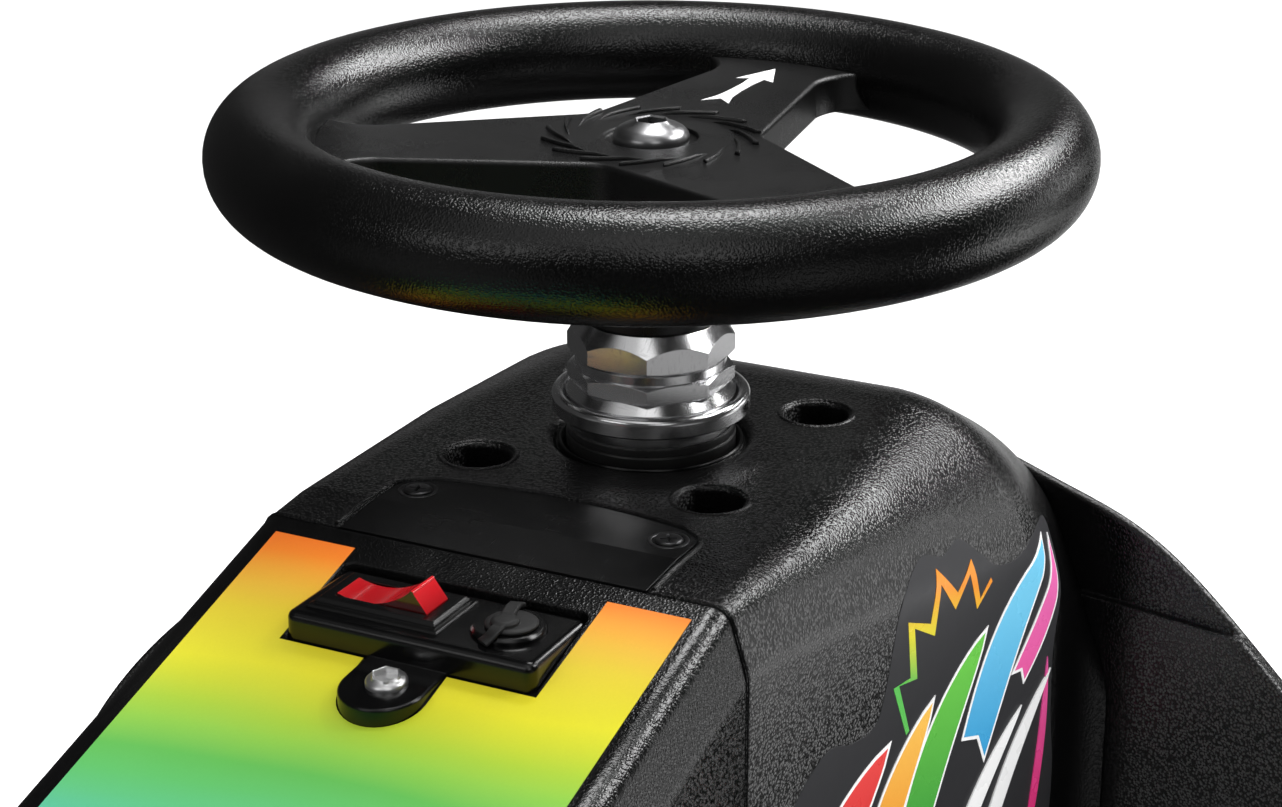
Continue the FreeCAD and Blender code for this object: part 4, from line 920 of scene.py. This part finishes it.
def lightning(points, width):
    """Jagged ribbon through points, thin at both ends."""
    left, right = [], []
    for i, point in enumerate(points):
        before = Vector(points[max(0, i - 1)])
        after = Vector(points[min(len(points) - 1, i + 1)])
        way = (after - before).normalized()
        side = Vector((-way.y, way.x))
        share = math.sin(math.pi * (i + 0.35) / (len(points) - 0.3))
        half = width * (0.25 + 0.75 * share)
        left.append(tuple(Vector(point) + side * half))
        right.append(tuple(Vector(point) - side * half))
    return left + right[::-1]


BURST = [(-9, -58), (-15, -44), (-7, -45), (-9, -31), (1, -36), (4, -24), (12, -33), (19, -27), (23, -38),
         (29, -34)]
SIDE_MARKS = [
    # name, outline, finish, layer, width of the white line round it
    ("burst", lightning(BURST, 2.2), "burst_ink", 1, 0.0),
    ("sky", fin((24, -76), (60, -35.5), 9.5, 4.0), "sky_ink", 2, 0.9),
    ("rose", fin((46, -66), (68, -39), 4.6, -2.5, 2.0), "rose_ink", 3, 0.8),
    ("leaf", fin((-6, -88), (27, -47), 8.8, 3.5), "leaf_ink", 2, 0.9),
    ("amber", fin((-26, -94), (2, -55), 7.6, 3.0), "amber_ink", 3, 0.9),
    ("red", fin((-56, -100), (-18, -58), 10.5, 5.0), "red_ink", 2, 1.0),
    ("ice_low", fin((10, -110), (48, -75), 4.6, 2.5, 5.0), "white_ink", 4, 0.0),
    ("ice_high", fin((30, -108), (63, -71), 4.2, 2.5, 5.0), "white_ink", 4, 0.0),
    ("rose_low", fin((56, -110), (61, -67), 2.4, -1.5, 2.0), "rose_ink", 3, 0.0),
]


def side_films():
    """The film on each side wall and its marks, most of them on a wider white line."""
    for side, label in ((-1, "right"), (1, "left")):
        film = draped(sheet(curve_through(FILM_EDGE, 5), 4.0), wall_finder(side), FILM_THICK)
        piece("side_film_" + label, film, "side_film", "front_cowl")
        on_film = wall_finder(side, MARK_FOOT)
        for name, outline, finish, layer, line in SIDE_MARKS:
            prints = [("_mark_", outline, finish, layer)]
            if line:
                prints.insert(0, ("_line_", grown(outline, line), "white_ink", layer - 0.6))
            for kind, edge, ink, level in prints:
                thick = FILM_THICK + LAYER_RISE * level - MARK_FOOT
                piece(name + kind + label, draped(sheet(edge, 2.0), on_film, thick), ink, "front_cowl")


# ---------------------------------------------------------------- steering wheel trim
def hub_teeth():
    """Ratchet ring round the hub bolt: curved ridges that run outward and end bluntly."""
    shape = bmesh.new()
    count, steps = 16, 22
    start_r, reach, sweep, foot = 18.6, 5.6, 35, 0.05
    for k in range(count):
        rows = []
        for i in range(steps + 1):
            t = i / steps
            angle = math.radians(360 * k / count - sweep * t)
            half = 0.12 + 0.7 * t
            rise = 0.02 + 0.75 * min(1.0, 3 * t)
            out = Vector((math.cos(angle), math.sin(angle), 0))
            centre = out * (start_r + reach * t ** 1.4) + Vector((0, 0, ARM_TOP))
            rows.append([shape.verts.new(centre - out * half - Vector((0, 0, foot))),
                         shape.verts.new(centre - out * half * 0.55 + Vector((0, 0, rise))),
                         shape.verts.new(centre + out * half * 0.8 + Vector((0, 0, rise))),
                         shape.verts.new(centre + out * half - Vector((0, 0, foot)))])
        skin(shape, rows, "capped")
    piece("hub_teeth", shape, "spider_black", "steering", 50)


def arrow_mark():
    """White arrow on the forward arm, with a waisted shaft and a notched tail."""
    tip, head, tail = 68.5, 57.5, 33.5
    right = [(tip, 0.0), (head - 1.5, 4.9), (head, 1.9), (52, 1.45), (45, 1.5), (39, 2.0), (tail, 3.6)]
    left = [(x, -y) for x, y in reversed(right[1:])]
    outline = right + [(tail + 3.4, 0.0)] + left
    shape = draped(sheet(outline, 3.0), lambda u, v: ((u, v, ARM_TOP), (0, 0, 1)), 0.06)
    piece("arrow_mark", shape, "white_ink", "steering")


# ---------------------------------------------------------------- small screws
def cross_screw_head(shape, place_at, radius, rise, steps=48):
    """Countersunk head in its ring, with a tapered cross recess cut into its flat top."""
    moat = [(radius + 1.5, -0.1), (radius + 1.35, 0.1), (radius + 1.0, 0.16), (radius + 0.55, 0.02),
            (radius + 0.35, -0.1)]
    turned(shape, moat, steps, place_at, "joined")
    head = [(radius, -0.2), (radius, 0.4 * rise), (0.94 * radius, 0.8 * rise), (0.84 * radius, rise)]
    rings = [ring(shape, circle(r, steps), height, place_at) for r, height in head]
    skin(shape, rings)
    shape.faces.new(rings[0][::-1])
    arm, reach = 0.12 * radius, 0.62 * radius
    quarter = [(reach, -arm), (reach, arm), (arm, arm)]
    cross = []
    for _ in range(4):
        cross += quarter
        quarter = [(-y, x) for x, y in quarter]
    mouth = ring(shape, cross, rise, place_at)
    foot = ring(shape, [(0.8 * x, 0.8 * y) for x, y in cross], rise - 0.32 * radius, place_at)
    skin(shape, [mouth, foot])
    for loops in ((rings[-1], mouth), (foot,)):
        edges = [shape.edges.get((loop[i - 1], loop[i])) for loop in loops for i in range(len(loop))]
        bmesh.ops.triangle_fill(shape, edges=edges, use_beauty=True)


def cover_screws():
    """Two black screws that hold the access cover."""
    shape = bmesh.new()
    for y, turn in ((-31.0, 30), (31.0, 12)):
        at = Matrix.Translation((-54.0, y, TOP)) @ Matrix.Rotation(math.radians(turn), 4, "Z")
        cross_screw_head(shape, at, 3.1, 0.5)
    piece("cover_screws", shape, "screw_black", "front_cowl", 40)


def hexagon(half, steps):
    """Hexagon of a half width across its flats, as points at even angles."""
    points = []
    for i in range(steps):
        a = 2 * math.pi * i / steps
        from_flat = (a + math.pi / 6) % (math.pi / 3) - math.pi / 6
        r = half / math.cos(from_flat)
        points.append((r * math.cos(a), r * math.sin(a)))
    return points


def button_screw(shape, place_at, radius, rise, socket, crown=58):
    """Button head screw with a hexagon socket, as one closed shape. The socket is given by its half
    width, and crown is the angle in degrees at which the dome ends."""
    steps = 48
    head = [(radius, -0.3), (radius, rise * 0.18)]
    for degrees in (15, 30, 0.75 * crown, crown):
        a = math.radians(degrees)
        head.append((radius * math.cos(a) * 0.96 + radius * 0.04, rise * (0.18 + 0.78 * math.sin(a))))
    rings = [ring(shape, circle(r, steps), height, place_at) for r, height in head]
    hollow = [(socket * 1.12, rise), (socket, rise * 0.93), (socket, rise * 0.25)]
    rings += [ring(shape, hexagon(half, steps), height, place_at) for half, height in hollow]
    skin(shape, rings, "capped")


def tab_screw_head():
    """Bright button screw in the box's tab, with its hexagon socket."""
    shape = bmesh.new()
    tilt = Matrix.Rotation(math.radians(-TAB_LEAN), 4, "Y")
    at = Matrix.Translation((TAB_SCREW_X, 0, high("tab_screw").z - 2.55)) @ tilt
    button_screw(shape, at, 4.4, 1.9, 2.45, crown=44)
    made = piece("tab_screw_head", shape, "bright_zinc", "front_cowl", 30)
    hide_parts("tab_screw")


def hub_bolt_dome():
    """Polished hub bolt: a domed head with its hexagon socket, over a plain shank."""
    shape = bmesh.new()
    shank_r = 4.9
    top, foot = high("hub_bolt").z, low("hub_bolt").z
    button_screw(shape, Matrix.Translation((0, 0, top - 5.0 + 0.3)), 8.7, 4.7, 3.0)
    turned(shape, [(0, foot), (shank_r, foot), (shank_r, top - 4.9), (0, top - 4.9)], 48)
    made = piece("hub_bolt_dome", shape, "bolt_black", "steering", 30)
    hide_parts("hub_bolt")


def well_screws():
    """Socket screws that stand on the floors of the four wells."""
    shape = bmesh.new()
    for x, y in WELLS:
        button_screw(shape, Matrix.Translation((x, y, TOP - WELL_DEPTH + 0.3)), 5.4, 3.2, 1.9)
    piece("well_screws", shape, "screw_black", "front_cowl", 40)


def hub_screws():
    """Ring of small screws round each cover of the hub."""
    shape = bmesh.new()
    count, ring_r, cover_half = 12, 70.0, 21.0
    for side in (-1, 1):
        lie = Matrix.Rotation(math.radians(-90 * side), 4, "X")
        out = Matrix.Translation((ring_r, side * (cover_half + 0.28), 0))
        for k in range(count):
            turn = Matrix.Rotation(math.radians(30 * k + 15), 4, "Y")
            button_screw(shape, Matrix.Translation(AXLE) @ turn @ out @ lie, 1.9, 1.3, 0.75)
    piece("hub_screws", shape, "bright_zinc", "drive_wheel", 40)


# ---------------------------------------------------------------- rubber cap on the charge port
def ribbon(shape, points, half, thick):
    """Soft strap through (x, y, z, swell) points, where swell scales its width; its edges are rounded
    and its ends closed."""
    section = [(-half, 0.25), (-half + 0.25, 0.02), (half - 0.25, 0.02), (half, 0.25), (half, thick - 0.3),
               (half - 0.35, thick), (-half + 0.35, thick), (-half, thick - 0.3)]
    rows = []
    for i, (*here, swell) in enumerate(points):
        before = Vector(points[max(0, i - 1)][:3])
        after = Vector(points[min(len(points) - 1, i + 1)][:3])
        way = (after - before).normalized()
        across = Vector((0, 0, 1)).cross(way)
        across.z = 0
        across.normalize()
        up = way.cross(across)
        rows.append([shape.verts.new(Vector(here) + across * a * swell + up * b) for a, b in section])
    skin(shape, rows, "capped")


def port_cap():
    """Rubber cap: a disc in the port's ring, a thick pad, a strap to the rear and a pull tab in front."""
    face = high("charge_port").z
    box_face = TOP - 5.2
    shape = bmesh.new()
    disc = [(0, 0), (5.3, 0), (5.55, 0.25), (5.55, 0.55), (5.2, 0.85), (4.3, 0.98), (0, 1.0)]
    turned(shape, disc, 64, Matrix.Translation((-98.5, -17.4, face)))
    pad = [(0, 0.6), (3.0, 0.6), (3.0, 1.5), (2.6, 1.95), (1.9, 2.1), (0, 2.15)]
    turned(shape, pad, 48, Matrix.Translation((-100.2, -16.8, face)))
    strap = [(-87.9, -13.2, box_face, 1.0), (-89.1, -13.6, box_face + 0.5, 1.0),
             (-91.0, -14.2, face + 0.15, 1.0), (-93.6, -14.9, face + 0.75, 1.0),
             (-96.4, -15.7, face + 0.9, 1.0), (-99.6, -16.6, face + 0.95, 1.0)]
    ribbon(shape, strap, 1.5, 1.1)
    pull = [(-99.4, -16.8, face + 0.85, 1.0), (-102.2, -16.9, face + 0.8, 0.95),
            (-104.2, -16.8, face + 0.55, 0.9), (-105.4, -16.6, face - 0.1, 0.95),
            (-106.1, -16.0, box_face + 0.55, 1.1), (-107.0, -15.5, box_face + 0.1, 1.1)]
    ribbon(shape, pull, 1.55, 1.0)
    made = piece("port_cap_soft", shape, "cap_rubber", "front_cowl", 40)
    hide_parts("port_cap")


# ---------------------------------------------------------------- tyre with its tread
GROOVES = ((6.6, 1.1, 2.4), (15.2, 1.0, 2.2))     # distance from the middle, half width, depth
BLOCKS = 60                                       # shoulder blocks round the tyre
BLOCK_INNER, BLOCK_OUTER = 7.8, 21.5              # the cuts between them run from here to here
RUN_OUT = 0.6                                     # a cut reaches its depth over this distance


def tread_depth(h, turn):
    """How deep the tread is cut, for a place across the tyre (mm) and round it (turns)."""
    across = abs(h)
    depth = 0.0
    for at, half, deep in GROOVES:
        depth = max(depth, deep * min(1.0, max(0.0, (half + 0.45 - abs(across - at)) / RUN_OUT)))
    if BLOCK_INNER < across < BLOCK_OUTER:
        sweep = (turn * BLOCKS + across * 0.045) % 1.0
        gap = abs(sweep - 0.5) * (2 * math.pi * TYRE_R / BLOCKS)
        fade = min(1.0, (across - BLOCK_INNER) / RUN_OUT, (BLOCK_OUTER - across) / 1.5)
        depth = max(depth, 2.2 * fade * min(1.0, max(0.0, (1.35 - gap) / RUN_OUT)))
    return depth


def arc_through(a, b, c, steps):
    """Points on the arc from a through b to c."""
    (ax, ay), (bx, by), (cx, cy) = a, b, c
    aa, bb, cc = ax * ax + ay * ay, bx * bx + by * by, cx * cx + cy * cy
    d = 2 * (ax * (by - cy) + bx * (cy - ay) + cx * (ay - by))
    ux = (aa * (by - cy) + bb * (cy - ay) + cc * (ay - by)) / d
    uy = (aa * (cx - bx) + bb * (ax - cx) + cc * (bx - ax)) / d
    r = math.hypot(ax - ux, ay - uy)
    start, end = math.atan2(ay - uy, ax - ux), math.atan2(cy - uy, cx - ux)
    angles = [start + (end - start) * i / steps for i in range(steps + 1)]
    return [(ux + r * math.cos(t), uy + r * math.sin(t)) for t in angles]


def tyre_profile():
    """Closed section of the tyre as (radius, across) pairs, fine over the tread."""
    half, bore, flange = TYRE_HALF, 67.0, 72.0
    shoulder = (TYRE_R - 8, half - 5)
    rim = [(bore, half - 7), (flange, half - 7), (flange + 0.6, half - 6.2)]
    wall = arc_through((flange + 6, half - 1.2), (flange + 14, half), shoulder, 10)
    tread = arc_through(shoulder, (TYRE_R, 0), (TYRE_R - 8, 5 - half), 84)
    other = [(r, -h) for r, h in reversed(rim + wall)]
    return rim + wall + tread[1:-1] + other


def treaded_tyre():
    """The tyre again with circumferential grooves and swept shoulder blocks."""
    profile = tyre_profile()
    steps = 600
    heart_r, tread_r = 84.0, 88.0     # cuts point at the middle of the section, and start beyond tread_r
    shape = bmesh.new()
    rings = []
    for i in range(steps):
        turn = i / steps
        c, s = math.cos(2 * math.pi * turn), math.sin(2 * math.pi * turn)
        row = []
        for r, h in profile:
            deep = tread_depth(h, turn) if r > tread_r else 0.0
            inward = Vector((heart_r - r, 0.0 - h)).normalized() * deep
            rr, hh = r + inward.x, h + inward.y
            row.append(shape.verts.new((AXLE.x + rr * c, AXLE.y + hh, AXLE.z + rr * s)))
        rings.append(row)
    skin(shape, rings, "joined")
    made = piece("tyre_tread", shape, "tyre_rubber", "drive_wheel", 32)
    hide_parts("tyre")


# ================================================================ studio
LIGHT_REACH = 1.5                     # how far the soft boxes hang from the object, in metres
LIGHT_AIM = Vector((0, 0, 0.12))      # the place that they face
ROOM_LEVEL = 1.05                     # brightness of the room, for the eye and for soft light
MIRRORED_ROOM = 0.03                  # brightness of the room between its cards, for mirrored rays


def toward(azimuth, elevation):
    """Direction of an azimuth and an elevation in degrees."""
    a, e = math.radians(azimuth), math.radians(elevation)
    return Vector((math.cos(e) * math.cos(a), math.cos(e) * math.sin(a), math.sin(e)))


def soft_box(name, azimuth, elevation, width, tall, radiance):
    """Soft box that hangs in a direction from the object and faces it."""
    data = bpy.data.lights.new(name, "AREA")
    data.shape = "RECTANGLE"
    data.size, data.size_y = width, tall
    data.energy = radiance * math.pi * width * tall
    box = bpy.data.objects.new(name, data)
    bpy.context.scene.collection.objects.link(box)
    box.location = LIGHT_AIM + LIGHT_REACH * toward(azimuth, elevation)
    box.rotation_euler = (LIGHT_AIM - box.location).to_track_quat("-Z", "Y").to_euler()
    box.visible_camera = False


def make_lights():
    soft_box("soft_box_front", -27, 38, 0.86, 0.50, 13.0)
    soft_box("soft_box_top", 14, 69, 0.56, 0.6, 13.0)
    soft_box("soft_box_side", -58, 44, 0.5, 0.44, 12.0)
    soft_box("soft_box_rear", 162, 30, 0.7, 0.4, 1.6)


def make_floor():
    """Pale floor that mirrored rays don't see."""
    half = 6.0
    corners = [(-half, -half), (half, -half), (half, half), (-half, half)]
    mesh = bpy.data.meshes.new("studio_floor")
    mesh.from_pydata([(x, y, FLOOR * MM) for x, y in corners], [], [(0, 1, 2, 3)])
    floor = bpy.data.objects.new("studio_floor", mesh)
    bpy.context.scene.collection.objects.link(floor)
    finish = Finish("studio_white", Roughness=0.9)
    tone = blend_colour(finish.tree, noise(finish.tree, finish.spot, 3.0), grey(0.93), grey(0.96))
    finish.feed("Base Color", tone)
    mesh.materials.append(finish.material)
    floor.visible_glossy = False


CARDS = [
    # azimuth, elevation, full inside this angle, gone at this angle, brightness
    (-42, 0, 1, 9, 2.1),
    (-49, -21, 5, 16, 2.2),
    (-114, -20, 9, 24, 0.32),
    (154, -20, 14, 34, 0.14),
    (12, -20, 9, 20, 0.6),
    (27, 2, 8, 16, 0.17),
    (-27, 5, 3, 10, 2.2),
    (-45, 64, 4, 13, 2.2),
    (-155, 60, 6, 16, 0.5),
    (-24, -21, 4, 11, 0.5),
    (182, 68, 16, 38, 0.5),
    (-140, 35, 6, 16, 1.5),
]


def make_world():
    """White room for the eye and for soft light; dark for mirrored rays, apart from its pale cards."""
    world = bpy.data.worlds.new("studio_world")
    bpy.context.scene.world = world
    world.use_nodes = True
    tree = world.node_tree
    shader = tree.nodes["Background"]
    way = add(tree, "TexCoord").outputs["Generated"]
    mirrored = MIRRORED_ROOM
    for azimuth, elevation, inner, outer, bright in CARDS:
        near = add(tree, "VectorMath", {0: way, 1: toward(azimuth, elevation)}, operation="DOT_PRODUCT")
        edge, full = math.cos(math.radians(outer)), math.cos(math.radians(inner))
        card = remap(tree, near.outputs["Value"], edge, full, 0.0, bright)
        mirrored = maths(tree, "ADD", mirrored, card)
    glossy = add(tree, "LightPath").outputs["Is Glossy Ray"]
    level = add(tree, "Mix", {0: glossy, 2: ROOM_LEVEL, 3: mirrored}, data_type="FLOAT")
    tree.links.new(level.outputs[0], shader.inputs["Strength"])
    shader.inputs["Color"].default_value = (1, 1, 1, 1)


make_camera()
make_inks()
finish_cad_nodes()
moulded_lips()
collar_ring()
hood_film()
side_films()
hub_teeth()
arrow_mark()
cover_screws()
tab_screw_head()
hub_bolt_dome()
well_screws()
hub_screws()
port_cap()
treaded_tyre()
make_floor()
make_world()
make_lights()
bpy.context.scene.view_settings.view_transform = "Standard"
